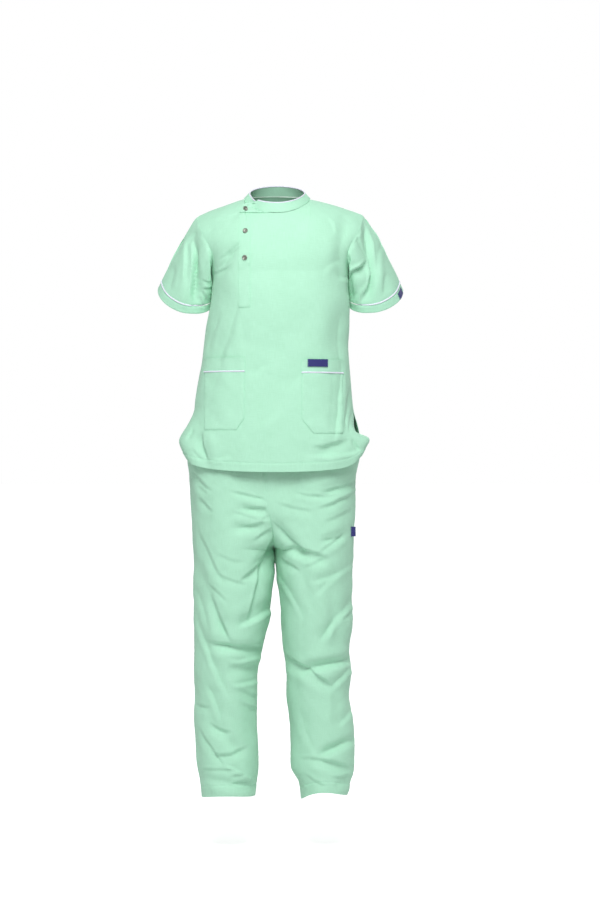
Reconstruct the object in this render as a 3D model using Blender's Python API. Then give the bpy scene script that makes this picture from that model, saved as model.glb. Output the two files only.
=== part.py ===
# Scrub suit: a short-sleeved tunic and straight trousers, worn and hollow
#
# Metres, +Z up, the wearer faces -Y, and the wearer's left is +X. The origin is at the base of the neck, level
# with the points where the shoulder seams meet the collar. Every piece is a thin wall of cloth. A wall is made
# from a surface, which is a function of two shares from 0 to 1: a across the piece and b down it.

import math
from collections import namedtuple

import bpy
import bmesh
from mathutils import Vector
from mathutils.bvhtree import BVHTree

# Cloth and seams
CLOTH = 0.0016          # wall of one layer
DOUBLE = 0.0020         # wall of two layers with interfacing: collar, cuffs, placket
SEAM = 0.0003           # space between two pieces at a seam
LAY = 0.0008            # space between a panel and what is sewn on it
LABEL = 0.0010          # wall of a woven label
RIGHT, LEFT = -1, 1     # the wearer's sides
FRONT, BACK = -1, 1

# Heights of the tunic
ARMPIT_Z = -0.165
VENT_Z = -0.480
HEM_Z = -0.607
YOKE = 0.34             # share b of a tunic panel that lies above the armpit
ROUND = 2.4             # how square the tunic's sections are: 2 is an ellipse

# Neckline and shoulders
NECK_WIDE = 0.0735
NECK_FRONT_Y, NECK_FRONT_Z = -0.082, -0.037
NECK_BACK_Y, NECK_BACK_Z = 0.064, 0.012
NECK_SHARE = 0.30       # share of the half width of a panel that the neckline takes
NECK_CURVE = {RIGHT: 1.0, LEFT: 1.3}    # the neckline stays low towards the tab and rises sooner on the left
SHOULDER = {RIGHT: Vector((-0.176, 0.004, -0.037)), LEFT: Vector((0.190, 0.004, -0.034))}
SCYE_IN = {FRONT: 0.34, BACK: 0.24}     # how far the armhole cuts into a panel

# Sections of the tunic: widths to each side, depths to the front and back
BodyRow = namedtuple("BodyRow", "z right left front back")
BODY = [
    BodyRow(-0.165, 0.147, 0.160, 0.120, 0.112),
    BodyRow(-0.200, 0.1445, 0.158, 0.125, 0.113),
    BodyRow(-0.232, 0.1475, 0.161, 0.127, 0.110),
    BodyRow(-0.286, 0.158, 0.160, 0.126, 0.104),
    BodyRow(-0.326, 0.163, 0.158, 0.124, 0.103),
    BodyRow(-0.362, 0.167, 0.160, 0.124, 0.106),
    BodyRow(-0.398, 0.174, 0.163, 0.126, 0.112),
    BodyRow(-0.434, 0.180, 0.166, 0.129, 0.120),
    BodyRow(-0.469, 0.184, 0.170, 0.132, 0.128),
    BodyRow(-0.500, 0.191, 0.178, 0.134, 0.134),
    BodyRow(-0.540, 0.206, 0.189, 0.136, 0.139),
    BodyRow(-0.580, 0.211, 0.194, 0.137, 0.141),
    BodyRow(-0.620, 0.208, 0.188, 0.138, 0.141),
]

# Free edges of the front below the vents, pushed out over the wrists: t is the share from armpit to hem
FlapRow = namedtuple("FlapRow", "t x y z")
FLAP = {
    RIGHT: [
        FlapRow(0.69, -0.184, -0.001, -0.472),
        FlapRow(0.77, -0.197, -0.022, -0.501),
        FlapRow(0.86, -0.216, -0.038, -0.536),
        FlapRow(0.93, -0.210, -0.048, -0.559),
        FlapRow(1.00, -0.199, -0.052, -0.579),
    ],
    LEFT: [
        FlapRow(0.69, 0.170, -0.001, -0.480),
        FlapRow(0.79, 0.174, -0.034, -0.518),
        FlapRow(0.85, 0.203, -0.046, -0.533),
        FlapRow(0.93, 0.196, -0.054, -0.554),
        FlapRow(1.00, 0.187, -0.058, -0.571),
    ],
}
FLAP_START = 0.52       # share of the half width where the front begins to follow its free edge
VENT_SPREAD = {FRONT: 0.16, BACK: 0.30}  # share of the quarter turn that the vent leaves open at the hem
SEAT_GAP = 0.0022       # space between the tunic's back and the trousers' seat
HEM_RISE = {FRONT: 0.024, BACK: 0.012}   # how far the hem rises to its corners

# Sleeves: the cuff's rim is a ring with its own centre, and arms to the outer, front and back points
CuffRing = namedtuple("CuffRing", "centre outer front back")
CUFF = {
    RIGHT: CuffRing(Vector((-0.2105, 0.036, -0.212)), Vector((-0.0575, 0.0, 0.011)),
                    Vector((0.005, -0.055, -0.042)), Vector((-0.004, 0.058, 0.026))),
    LEFT: CuffRing(Vector((0.2240, 0.036, -0.2125)), Vector((0.0585, 0.0, 0.009)),
                   Vector((-0.004, -0.055, -0.040)), Vector((0.004, 0.058, 0.026))),
}
SLEEVE_DOWN = {RIGHT: Vector((-0.30, 0.30, -0.90)), LEFT: Vector((0.30, 0.30, -0.90))}
CAP_REACH = 0.050       # how far the cap of a sleeve runs on in line with the shoulder
ARMPIT_BEND = 115.0     # degrees that the sleeve's cloth turns back from the panel's at the armpit
CUFF_REACH = 0.070
CUFF_SHARE = 0.835      # share of the sleeve's length where its piping lies
SLEEVE_LONG = 0.19      # length of a sleeve, to turn a width along it into a share
PIPING = 0.0034         # width of the white piping

# Trousers
WAIST_Z = -0.440
WAISTBAND_TOP = -0.402
CROTCH_TOP, CROTCH_Z = -0.660, -0.776
INSEAM_Y = 0.010
LegRow = namedtuple("LegRow", "z outer inner apex front back")
LEG = {
    RIGHT: [
        LegRow(-0.400, -0.153, -0.014, 0.46, -0.098, 0.094),
        LegRow(-0.440, -0.157, -0.014, 0.46, -0.101, 0.101),
        LegRow(-0.470, -0.166, -0.015, 0.45, -0.105, 0.112),
        LegRow(-0.500, -0.180, -0.017, 0.44, -0.109, 0.121),
        LegRow(-0.540, -0.195, -0.020, 0.44, -0.112, 0.129),
        LegRow(-0.580, -0.200, -0.023, 0.44, -0.113, 0.132),
        LegRow(-0.612, -0.196, -0.025, 0.44, -0.113, 0.132),
        LegRow(-0.648, -0.193, -0.024, 0.45, -0.112, 0.129),
        LegRow(-0.690, -0.190, -0.019, 0.46, -0.111, 0.123),
        LegRow(-0.733, -0.189, -0.010, 0.48, -0.109, 0.115),
        LegRow(-0.776, -0.187, -0.005, 0.50, -0.107, 0.106),
        LegRow(-0.800, -0.186, -0.005, 0.50, -0.105, 0.102),
        LegRow(-0.840, -0.185, -0.0075, 0.50, -0.102, 0.097),
        LegRow(-0.894, -0.185, -0.013, 0.50, -0.097, 0.090),
        LegRow(-0.948, -0.185, -0.020, 0.50, -0.091, 0.083),
        LegRow(-1.001, -0.185, -0.033, 0.50, -0.084, 0.077),
        LegRow(-1.055, -0.185, -0.043, 0.50, -0.079, 0.074),
        LegRow(-1.109, -0.183, -0.044, 0.50, -0.074, 0.075),
        LegRow(-1.162, -0.185, -0.045, 0.50, -0.071, 0.077),
        LegRow(-1.216, -0.181, -0.042, 0.50, -0.070, 0.077),
        LegRow(-1.270, -0.176, -0.041, 0.50, -0.070, 0.075),
        LegRow(-1.300, -0.171, -0.045, 0.50, -0.070, 0.073),
        LegRow(-1.345, -0.164, -0.052, 0.50, -0.068, 0.071),
    ],
    LEFT: [
        LegRow(-0.400, 0.143, -0.014, 0.46, -0.098, 0.094),
        LegRow(-0.440, 0.147, -0.014, 0.46, -0.101, 0.101),
        LegRow(-0.470, 0.155, -0.015, 0.45, -0.105, 0.112),
        LegRow(-0.500, 0.166, -0.017, 0.44, -0.109, 0.121),
        LegRow(-0.540, 0.179, -0.020, 0.44, -0.112, 0.129),
        LegRow(-0.580, 0.182, -0.023, 0.44, -0.113, 0.132),
        LegRow(-0.612, 0.176, -0.025, 0.44, -0.113, 0.132),
        LegRow(-0.648, 0.174, -0.024, 0.45, -0.112, 0.129),
        LegRow(-0.690, 0.173, -0.019, 0.46, -0.111, 0.123),
        LegRow(-0.733, 0.171, -0.010, 0.48, -0.109, 0.115),
        LegRow(-0.776, 0.170, -0.005, 0.50, -0.107, 0.106),
        LegRow(-0.800, 0.169, -0.005, 0.50, -0.105, 0.102),
        LegRow(-0.840, 0.167, -0.0015, 0.50, -0.102, 0.097),
        LegRow(-0.894, 0.166, 0.006, 0.50, -0.097, 0.090),
        LegRow(-0.948, 0.168, 0.009, 0.50, -0.091, 0.083),
        LegRow(-1.001, 0.160, 0.013, 0.50, -0.084, 0.077),
        LegRow(-1.055, 0.165, 0.020, 0.50, -0.079, 0.074),
        LegRow(-1.109, 0.159, 0.020, 0.50, -0.074, 0.075),
        LegRow(-1.162, 0.169, 0.027, 0.50, -0.071, 0.077),
        LegRow(-1.216, 0.172, 0.029, 0.50, -0.070, 0.077),
        LegRow(-1.270, 0.170, 0.031, 0.50, -0.070, 0.075),
        LegRow(-1.300, 0.163, 0.047, 0.50, -0.070, 0.073),
        LegRow(-1.345, 0.152, 0.055, 0.50, -0.068, 0.071),
    ],
}
LegHem = namedtuple("LegHem", "inner front outer back")
LEG_HEM = {RIGHT: LegHem(-1.330, -1.324, -1.332, -1.336), LEFT: LegHem(-1.338, -1.316, -1.327, -1.334)}

# Largest folds: a line from (x0, z0) to (x1, z1), how wide the trough is and how deep. Negative depth is a ridge.
Fold = namedtuple("Fold", "x0 z0 x1 z1 width depth")
FOLDS = {
    ("tunic", FRONT): [
        Fold(-0.142, -0.185, -0.096, -0.115, 0.014, 0.0045),
        Fold(-0.118, -0.210, -0.142, -0.335, 0.022, 0.0040),
        Fold(0.138, -0.170, 0.150, -0.050, 0.014, 0.0040),
        Fold(0.132, -0.240, 0.138, -0.340, 0.022, 0.0035),
        Fold(0.100, -0.565, 0.152, -0.545, 0.013, 0.0045),
        Fold(-0.176, -0.530, -0.156, -0.590, 0.013, 0.0050),
    ],
    ("tunic", BACK): [
        Fold(-0.128, -0.230, -0.085, -0.120, 0.018, 0.0040),
        Fold(0.135, -0.240, 0.092, -0.125, 0.018, 0.0040),
        Fold(-0.105, -0.330, 0.020, -0.365, 0.018, 0.0045),
        Fold(0.110, -0.315, -0.010, -0.335, 0.018, 0.0040),
    ],
    ("sleeve", RIGHT): [
        Fold(-0.186, -0.090, -0.182, -0.232, 0.013, 0.0070),
    ],
    ("sleeve", LEFT): [
        Fold(0.198, -0.065, 0.205, -0.215, 0.013, 0.0070),
    ],
    ("leg", RIGHT, FRONT): [
        Fold(-0.080, -0.686, -0.020, -0.700, 0.009, 0.0035),
        Fold(-0.095, -0.732, -0.030, -0.730, 0.010, 0.0040),
        Fold(-0.045, -0.812, -0.008, -0.770, 0.010, 0.0045),
        Fold(-0.070, -0.848, -0.012, -0.805, 0.012, 0.0040),
        Fold(-0.080, -0.942, -0.022, -0.895, 0.014, 0.0050),
        Fold(-0.176, -0.810, -0.110, -0.985, 0.012, 0.0045),
        Fold(-0.142, -0.990, -0.040, -1.004, 0.012, 0.0065),
        Fold(-0.105, -1.045, -0.048, -1.046, 0.014, 0.0060),
        Fold(-0.145, -1.160, -0.078, -1.230, 0.012, 0.0045),
        Fold(-0.158, -1.285, -0.055, -1.305, 0.011, 0.0045),
    ],
    ("leg", LEFT, FRONT): [
        Fold(-0.002, -0.722, 0.060, -0.795, 0.010, 0.0045),
        Fold(0.030, -0.780, 0.105, -0.806, 0.010, 0.0040),
        Fold(0.105, -0.650, 0.168, -0.628, 0.011, 0.0040),
        Fold(0.100, -0.762, 0.150, -0.744, 0.010, 0.0035),
        Fold(0.052, -0.810, 0.072, -0.900, 0.013, 0.0040),
        Fold(0.118, -0.875, 0.140, -0.985, 0.012, 0.0040),
        Fold(0.062, -1.043, 0.160, -1.026, 0.011, 0.0065),
        Fold(0.025, -1.030, 0.120, -1.086, 0.010, 0.0050),
        Fold(0.096, -1.232, 0.165, -1.205, 0.010, 0.0045),
        Fold(0.090, -1.246, 0.155, -1.272, 0.010, 0.0040),
        Fold(0.130, -1.298, 0.162, -1.298, 0.009, 0.0035),
    ],
    ("leg", RIGHT, BACK): [
        Fold(-0.165, -0.770, -0.060, -0.800, 0.012, 0.0045),
        Fold(-0.150, -0.850, -0.030, -0.820, 0.012, 0.0040),
        Fold(-0.155, -1.010, -0.055, -1.035, 0.012, 0.0065),
        Fold(-0.150, -1.070, -0.060, -1.062, 0.011, 0.0055),
        Fold(-0.150, -1.235, -0.065, -1.262, 0.012, 0.0045),
        Fold(-0.145, -1.300, -0.070, -1.296, 0.010, 0.0040),
    ],
    ("leg", LEFT, BACK): [
        Fold(0.152, -0.778, 0.045, -0.802, 0.012, 0.0045),
        Fold(0.140, -0.860, 0.025, -0.828, 0.012, 0.0040),
        Fold(0.146, -1.018, 0.040, -1.040, 0.012, 0.0065),
        Fold(0.140, -1.076, 0.045, -1.066, 0.011, 0.0055),
        Fold(0.150, -1.228, 0.055, -1.258, 0.012, 0.0045),
        Fold(0.145, -1.302, 0.070, -1.292, 0.010, 0.0040),
    ],
}

# What is sewn on the front: places are x and z on the front's face
PLACKET_RIGHT_X, PLACKET_LEFT_X = -0.0822, -0.0581
PLACKET_TOP_Z, PLACKET_LOW_Z = -0.0380, -0.2460
Pocket = namedtuple("Pocket", "outer inner top piping low cut_in cut_up")
POCKET = {
    RIGHT: Pocket(-0.1595, -0.0700, -0.3560, -0.3865, -0.5150, 0.018, 0.026),
    LEFT: Pocket(0.1455, 0.0545, -0.3600, -0.3890, -0.5230, 0.026, 0.032),
}
Label = namedtuple("Label", "left right top low")
POCKET_LABEL = Label(0.0667, 0.1104, -0.3600, -0.3765)
SnapSpot = namedtuple("SnapSpot", "x z carrier")
SNAP_SPOTS = [
    SnapSpot(-0.0705, -0.0260, "collar"),
    SnapSpot(-0.0690, -0.0775, "placket"),
    SnapSpot(-0.0700, -0.1375, "placket"),
]
SNAP_RADIUS, SNAP_HIGH = 0.0058, 0.0024

# Collar: angles round the neck in degrees, 0 at the front and 90 at the wearer's left
COLLAR_START, COLLAR_END = -62.0, 304.0
COLLAR_TOP_WIDE = 0.0625
COLLAR_TOP_FRONT_Y, COLLAR_TOP_BACK_Y = -0.073, 0.055
COLLAR_TOP_FRONT_Z, COLLAR_TOP_SIDE_Z, COLLAR_TOP_BACK_Z = -0.0145, 0.0130, 0.0340
UNDERLAP_FROM, UNDERLAP_IN, UNDERLAP_DOWN = 272.0, 0.055, 0.005  # the hidden end goes in and down behind the tab
TAB_RING = -42.0        # angle where the tab leaves the ring
TAB_LIFT = 0.0013       # space between the tab and the front panel
TAB_END_X = -0.0822     # the tab runs past the neckline to here
TAB_LOW_Z, TAB_TOP_Z = -0.0345, -0.0155

MINT, WHITE = (0.42, 0.80, 0.62), (0.85, 0.85, 0.92)
NICKEL, NAVY = (0.45, 0.46, 0.42), (0.02, 0.02, 0.15)


# Helpers for numbers and tables

def smooth(t):
    t = min(max(t, 0.0), 1.0)
    return t * t * (3.0 - 2.0 * t)


def mix(a, b, t):
    return a + (b - a) * t


def read_row(rows, place):
    """Reads every column of a table at a place, on a smooth curve through its rows."""
    keys = [row[0] for row in rows]
    sign = 1.0 if keys[-1] > keys[0] else -1.0
    place = min(max(place * sign, keys[0] * sign), keys[-1] * sign) * sign
    i = 0
    while i < len(rows) - 2 and (place - keys[i + 1]) * sign > 0.0:
        i += 1
    span = keys[i + 1] - keys[i]
    t = (place - keys[i]) / span
    values = []
    for column in range(len(rows[0])):
        here, there = rows[i][column], rows[i + 1][column]
        before = rows[i - 1][column] if i > 0 else here
        after = rows[i + 2][column] if i + 2 < len(rows) else there
        slope_in = (there - before) / (keys[i + 1] - (keys[i - 1] if i > 0 else keys[i])) * span
        slope_out = (after - here) / ((keys[i + 2] if i + 2 < len(rows) else keys[i + 1]) - keys[i]) * span
        values.append((2 * t**3 - 3 * t**2 + 1) * here + (t**3 - 2 * t**2 + t) * slope_in
                      + (3 * t**2 - 2 * t**3) * there + (t**3 - t**2) * slope_out)
    return type(rows[0])(*values)


def fold_depth(folds, x, z):
    """How far the folds press the cloth in at a place: a soft trough with a lower ridge along each side."""
    depth = 0.0
    for fold in folds:
        dx, dz = fold.x1 - fold.x0, fold.z1 - fold.z0
        length = math.hypot(dx, dz)
        along = ((x - fold.x0) * dx + (z - fold.z0) * dz) / length**2
        off = abs((x - fold.x0) * dz - (z - fold.z0) * dx) / length / fold.width
        if -0.25 < along < 1.25 and off < 4.0:
            fade = smooth((along + 0.25) / 0.5) * smooth((1.25 - along) / 0.5)
            depth += fold.depth * fade * (math.exp(-off**2) - 0.35 * math.exp(-(off - 1.9)**2))
    return depth


# Surfaces of the tunic

def top_edge(side, across):
    """Upper edge of a tunic panel: the neckline in the middle and the shoulder seams beside it."""
    reach = abs(across)
    hand = LEFT if across > 0 else RIGHT
    if reach < NECK_SHARE:
        turn = reach / NECK_SHARE * math.pi / 2
        low_y, low_z = (NECK_FRONT_Y, NECK_FRONT_Z) if side == FRONT else (NECK_BACK_Y, NECK_BACK_Z)
        curve = NECK_CURVE[hand] if side == FRONT else 1.0
        ahead = max(math.cos(turn), 0.0)
        return Vector((hand * NECK_WIDE * math.sin(turn), low_y * ahead, low_z * ahead**curve))
    t = (reach - NECK_SHARE) / (1.0 - NECK_SHARE)
    tip = SHOULDER[hand]
    return Vector((mix(hand * NECK_WIDE, tip.x, t), tip.y * t, tip.z * (0.75 * t + 0.25 * t * t)))


def oval(row, side, across, spread):
    """Point of a section: across is -1 to 1 over the panel, spread is the turn that it reaches at its edges."""
    turn = abs(across) * spread
    width = row.left if across > 0 else row.right
    depth = row.front if side == FRONT else row.back
    x = math.copysign(width * math.sin(turn)**(2.0 / ROUND), across)
    return x, side * depth * max(math.cos(turn), 0.0)**(2.0 / ROUND)


def seat_depth(x, z, clear):
    """How far back the trousers reach at a place, grown by a clearance, so that the tunic can lie on them."""
    if z > WAISTBAND_TOP:
        return 0.0
    hand = LEFT if x > read_row(LEG[RIGHT], z).inner else RIGHT
    row = read_row(LEG[hand], z)
    apex_x = mix(row.inner, row.outer, row.apex)
    share = (x - apex_x) / (row.outer + hand * clear - apex_x)
    if share >= 1.0:
        return 0.0
    return (row.back + clear) * math.sqrt(1.0 - max(share, 0.0)**2)


def tunic_point(side, a, b):
    across = min(max(2.0 * a - 1.0, -1.0), 1.0)
    reach = abs(across)
    quarter = math.pi / 2
    if b < YOKE:
        s = b / YOKE
        spread = quarter * (1.0 - SCYE_IN[side] * math.sin(math.pi * min(s, 1.0))**0.7)
        x, y = oval(read_row(BODY, ARMPIT_Z), side, across, spread)
        top = top_edge(side, across)
        swell = 0.5 + 0.35 * max(0.0, 1.0 - (reach / NECK_SHARE)**2)
        out = (1.0 - (1.0 - s)**2.2)**swell
        point = Vector((mix(top.x, x, smooth(s)), mix(top.y, y, out), mix(top.z, ARMPIT_Z, s)))
    else:
        s = (b - YOKE) / (1.0 - YOKE)
        z = mix(ARMPIT_Z, HEM_Z + HEM_RISE[side] * reach**2, s)
        vent = smooth((VENT_Z - z) / (VENT_Z - HEM_Z))
        x, y = oval(read_row(BODY, z), side, across, quarter * (1.0 - VENT_SPREAD[side] * vent))
        point = Vector((x, y, z))
        if side == BACK:
            point.y = max(y, seat_depth(x, z, CLOTH + SEAT_GAP))
        elif s > FLAP[RIGHT][0].t - 0.08 and reach > FLAP_START:
            rows = FLAP[LEFT if across > 0 else RIGHT]
            edge = read_row(rows, s)
            edge_x, edge_y = oval(read_row(BODY, z), side, math.copysign(1.0, across),
                                  quarter * (1.0 - VENT_SPREAD[side] * vent))
            edge_z = mix(ARMPIT_Z, HEM_Z + HEM_RISE[side], s)
            pull = smooth((reach - FLAP_START) / (1.0 - FLAP_START))**1.5
            pull *= smooth((s - rows[0].t + 0.08) / 0.12)
            point += Vector((edge.x - edge_x, edge.y - edge_y, edge.z - edge_z)) * pull
    point.y += side * SEAM / 2
    return point


# Frames: a point on a surface with its outward normal

NUDGE = 2e-4
SEAM_CALM = 0.08        # share of a panel's width over which its folds die out towards a side seam


def frame_at(surface, a, b, heart):
    """Point, outward normal and the directions of growing a and b. The heart is a line inside the garment."""
    point = surface(a, b)
    step_a = surface(min(a + NUDGE, 1.0), b) - surface(max(a - NUDGE, 0.0), b)
    step_b = surface(a, min(b + NUDGE, 1.0)) - surface(a, max(b - NUDGE, 0.0))
    normal = step_a.cross(step_b).normalized()
    if normal.dot(point - heart(point)) < 0.0:
        normal.negate()
    return point, normal, step_a.normalized(), step_b.normalized()


def folded(surface, folds, heart):
    """The same surface with its folds pressed in, as a function that also gives the normal."""
    def place(a, b):
        point, normal, _, _ = frame_at(surface, a, b, heart)
        fade = smooth(a / SEAM_CALM) * smooth((1.0 - a) / SEAM_CALM)
        return point - normal * (fade * fold_depth(folds, point.x, point.z)), normal
    return place


def tunic_heart(point):
    return Vector((0.0, 0.0, min(point.z - 0.08, -0.20)))


def tunic_front(a, b):
    return tunic_point(FRONT, a, b)


def tunic_back(a, b):
    return tunic_point(BACK, a, b)


front_place = folded(tunic_front, FOLDS["tunic", FRONT], tunic_heart)
back_place = folded(tunic_back, FOLDS["tunic", BACK], tunic_heart)


FRONT_WIDE = 0.36       # width of the front, for the first guess at a place on it
seats = {}              # finished pieces that others lie on, each as a tree of its faces


def keep_seat(word, piece):
    corners = [vertex.co for vertex in piece.data.vertices]
    seats[word] = BVHTree.FromPolygons(corners, [tuple(face.vertices) for face in piece.data.polygons])


def on_front(x, z, out, carrier="front"):
    """A point at x and z on the face of the front, or of what is sewn there, moved out along the normal."""
    a, b = 0.5 + x / FRONT_WIDE, mix(YOKE, 1.0, (z - ARMPIT_Z) / (HEM_Z - ARMPIT_Z))
    a, b = min(max(a, 0.02), 0.98), min(max(b, 0.02), 0.98)
    for _ in range(14):
        here = tunic_front(a, b)
        by_a = (tunic_front(a + 1e-3, b) - here) / 1e-3
        by_b = (tunic_front(a, b + 1e-3) - here) / 1e-3
        miss_x, miss_z = x - here.x, z - here.z
        area = by_a.x * by_b.z - by_b.x * by_a.z
        a = min(max(a + 0.8 * (miss_x * by_b.z - by_b.x * miss_z) / area, 0.005), 0.995)
        b = min(max(b + 0.8 * (by_a.x * miss_z - miss_x * by_a.z) / area, 0.005), 0.995)
    point, normal = front_place(a, b)
    hit = seats[carrier].ray_cast(point + normal * 0.02, -normal)[0]
    return hit + normal * out, normal


# Surfaces of a sleeve: w runs round it from the top over the front, t runs down it

def armhole(hand, w):
    """Point of the armhole, the panel's normal there and the direction that leads out of the panel."""
    front = w < 0.5
    share = 2.0 * w if front else 2.0 * (1.0 - w)
    share = min(max(share, 0.004), 0.985)
    surface = tunic_front if front else tunic_back
    a = 1.0 if hand == LEFT else 0.0
    inner_a = a - hand * 0.04
    point, normal, _, along = frame_at(surface, a, share * YOKE, tunic_heart)
    out = normal.cross(along).normalized()
    if out.dot(point - surface(inner_a, share * YOKE)) < 0.0:
        out.negate()
    return point, normal, out


def cuff_point(hand, w):
    ring = CUFF[hand]
    turn = 2.0 * math.pi * w
    reach = ring.front if w < 0.5 else ring.back
    return ring.centre + ring.outer * math.cos(turn) + reach * abs(math.sin(turn))


def sleeve_place(hand, w, t):
    """Point and normal of a sleeve. It leaves the armhole in line with the panel and meets the cuff's ring."""
    def start_at(w):
        edge, normal, out = armhole(hand, w)
        low = 0.5 - 0.5 * math.cos(2.0 * math.pi * w)
        bend = math.radians(ARMPIT_BEND) * smooth((low - 0.40) / 0.60)
        ahead = out * math.cos(bend) + normal * math.sin(bend)
        outward = normal * math.cos(bend) - out * math.sin(bend)
        aside = math.sin(min(bend, math.pi / 2))
        start = edge + out * (2.0 * SEAM * max(math.cos(bend), 0.0)) + normal * ((CLOTH + 4.0 * SEAM) * aside)
        return start, ahead, outward, 1.0 - low

    def point_at(w, t):
        start, ahead, _, top = start_at(w)
        end = cuff_point(hand, w)
        lead = ahead * (CAP_REACH * (0.35 + 0.65 * top))
        land = SLEEVE_DOWN[hand] * CUFF_REACH
        land.x *= top
        return (start * (2 * t**3 - 3 * t**2 + 1) + lead * (t**3 - 2 * t**2 + t)
                + end * (3 * t**2 - 2 * t**3) + land * (t**3 - t**2))
    point = point_at(w, t)
    if t < 0.001:
        return point, start_at(w)[2]
    step_w = point_at((w + 0.004) % 1.0, t) - point_at((w - 0.004) % 1.0, t)
    step_t = point_at(w, min(t + 0.004, 1.0)) - point_at(w, t - 0.004)
    normal = step_w.cross(step_t).normalized()
    heart = mix(mix(armhole(hand, 0.0)[0], armhole(hand, 0.5)[0], 0.5), CUFF[hand].centre, t)
    if normal.dot(point - heart) < 0.0:
        normal.negate()
    if point.y < heart.y + 0.02:
        point = point - normal * fold_depth(FOLDS["sleeve", hand], point.x, point.z)
    return point, normal


# Surfaces of the trousers: a runs from the inner seam to the outer seam

def crotch_y(side, row, z):
    """Where the inner edge of a leg panel lies: on the centre seam above the crotch, on the inseam below it."""
    q = min(max((CROTCH_TOP - z) / (CROTCH_TOP - CROTCH_Z), 0.0), 1.0)
    depth = row.front if side == FRONT else row.back
    return INSEAM_Y + (depth - INSEAM_Y) * (1.0 - q**2.4)**(1.0 / 2.0)


def leg_point(hand, side, a, b):
    hem = LEG_HEM[hand]
    mid_z = hem.front if side == FRONT else hem.back
    ends = mix(hem.inner, hem.outer, smooth(a))
    low_z = mix(ends, mid_z, math.sin(math.pi * a)**2)
    z = mix(WAIST_Z, low_z, b)
    row = read_row(LEG[hand], z)
    deep = row.front if side == FRONT else row.back
    inner_y = crotch_y(side, row, z)
    turned_in = smooth((CROTCH_TOP + 0.030 - z) / 0.025)
    inner_x = row.inner + hand * (SEAM / 2 + (CLOTH / 2 + SEAM) * turned_in)
    apex_x = mix(inner_x, row.outer, row.apex)
    if a < 0.5:
        turn = a * math.pi
        x = inner_x + (apex_x - inner_x) * (1.0 - math.cos(turn))
        y = inner_y + (deep - inner_y) * math.sin(turn)
    else:
        turn = (a - 0.5) * math.pi
        x = apex_x + (row.outer - apex_x) * math.sin(turn)
        y = deep * math.cos(turn)
    return Vector((x, y + side * SEAM / 2, z))


def leg_heart(hand):
    def heart(point):
        row = read_row(LEG[hand], point.z)
        return Vector((mix(row.inner, row.outer, 0.5), INSEAM_Y, point.z))
    return heart


def leg_place(hand, side):
    def surface(a, b):
        return leg_point(hand, side, a, b)
    return folded(surface, FOLDS["leg", hand, side], leg_heart(hand))


def waistband_place(turn, share):
    """The band round the waist, above the leg panels: turn runs once round from the centre back."""
    z = mix(WAIST_Z + SEAM, WAISTBAND_TOP, share)
    angle = 2.0 * math.pi * turn

    def point_at(angle):
        hand = LEFT if math.sin(angle) > 0 else RIGHT
        side = BACK if math.cos(angle) > 0 else FRONT
        row = read_row(LEG[hand], z)
        centre = row.inner
        width = abs(row.outer - centre)
        depth = abs(row.front if side == FRONT else row.back)
        x = centre + hand * width * abs(math.sin(angle))**(2.0 / ROUND)
        return Vector((x, side * depth * abs(math.cos(angle))**(2.0 / ROUND), z))
    step = point_at(angle + 0.01) - point_at(angle - 0.01)
    normal = Vector((step.y, -step.x, 0.0)).normalized()
    point = point_at(angle)
    if normal.dot(point - Vector((-0.01, 0.0, z))) < 0.0:
        normal.negate()
    return point, normal


# Surfaces of the collar

def neck_ring(angle, wide, front_y, back_y, front_z, side_z, back_z):
    turn = math.radians(angle)
    ahead = math.cos(turn)
    y = front_y * ahead if ahead > 0 else -back_y * ahead
    curve = NECK_CURVE[LEFT if math.sin(turn) > 0 else RIGHT]
    z = side_z + (front_z - side_z) * max(ahead, 0.0)**curve + (back_z - side_z) * max(-ahead, 0.0)
    return Vector((wide * math.sin(turn), y, z))


def collar_point(angle, share):
    """Collar from its base on the neckline to its top. It leans in, and its end slips in behind the tab."""
    rise = CLOTH / 2 + LAY
    base = neck_ring(angle, NECK_WIDE, NECK_FRONT_Y, NECK_BACK_Y, NECK_FRONT_Z + rise, rise + 0.001,
                     NECK_BACK_Z + rise)
    top = neck_ring(angle, COLLAR_TOP_WIDE, COLLAR_TOP_FRONT_Y, COLLAR_TOP_BACK_Y, COLLAR_TOP_FRONT_Z,
                    COLLAR_TOP_SIDE_Z, COLLAR_TOP_BACK_Z)
    point = mix(base, top, share)
    behind = smooth((angle - UNDERLAP_FROM) / 20.0)
    point = mix(point, Vector((0.0, 0.0, point.z)), UNDERLAP_IN * behind)
    point.z -= UNDERLAP_DOWN * behind
    return point


TAB_SHARE = 0.10        # share of the collar's length that the tab takes


def collar_place(along, share):
    if along < TAB_SHARE:
        t = smooth(along / TAB_SHARE)
        tab, tab_normal = on_front(mix(TAB_END_X, -0.058, along / TAB_SHARE), mix(TAB_LOW_Z, TAB_TOP_Z, share),
                                   TAB_LIFT + DOUBLE / 2)
        ring, ring_normal = ring_place(mix(COLLAR_START, TAB_RING, along / TAB_SHARE), share)
        point, normal = mix(tab, ring, t), mix(tab_normal, ring_normal, t).normalized()
        lift, out = clear_of("front", point, DOUBLE / 2 + TAB_LIFT)
        return point + out * lift, normal
    return ring_place(mix(TAB_RING, COLLAR_END, (along - TAB_SHARE) / (1.0 - TAB_SHARE)), share)


def ring_place(angle, share):
    point = collar_point(angle, share)
    step_a = collar_point(angle + 0.5, share) - collar_point(angle - 0.5, share)
    step_b = collar_point(angle, share + 0.01) - collar_point(angle, share - 0.01)
    normal = step_a.cross(step_b).normalized()
    if normal.dot(point - Vector((0.0, 0.0, point.z))) < 0.0:
        normal.negate()
    return point, normal


def collar_piping_place(along, share):
    """The piping stands on the collar's top edge."""
    point, normal = collar_place(along, 1.0)
    low, _ = collar_place(along, 0.9)
    up = (point - low).normalized()
    return point + up * (SEAM + PIPING * share), normal


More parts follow.
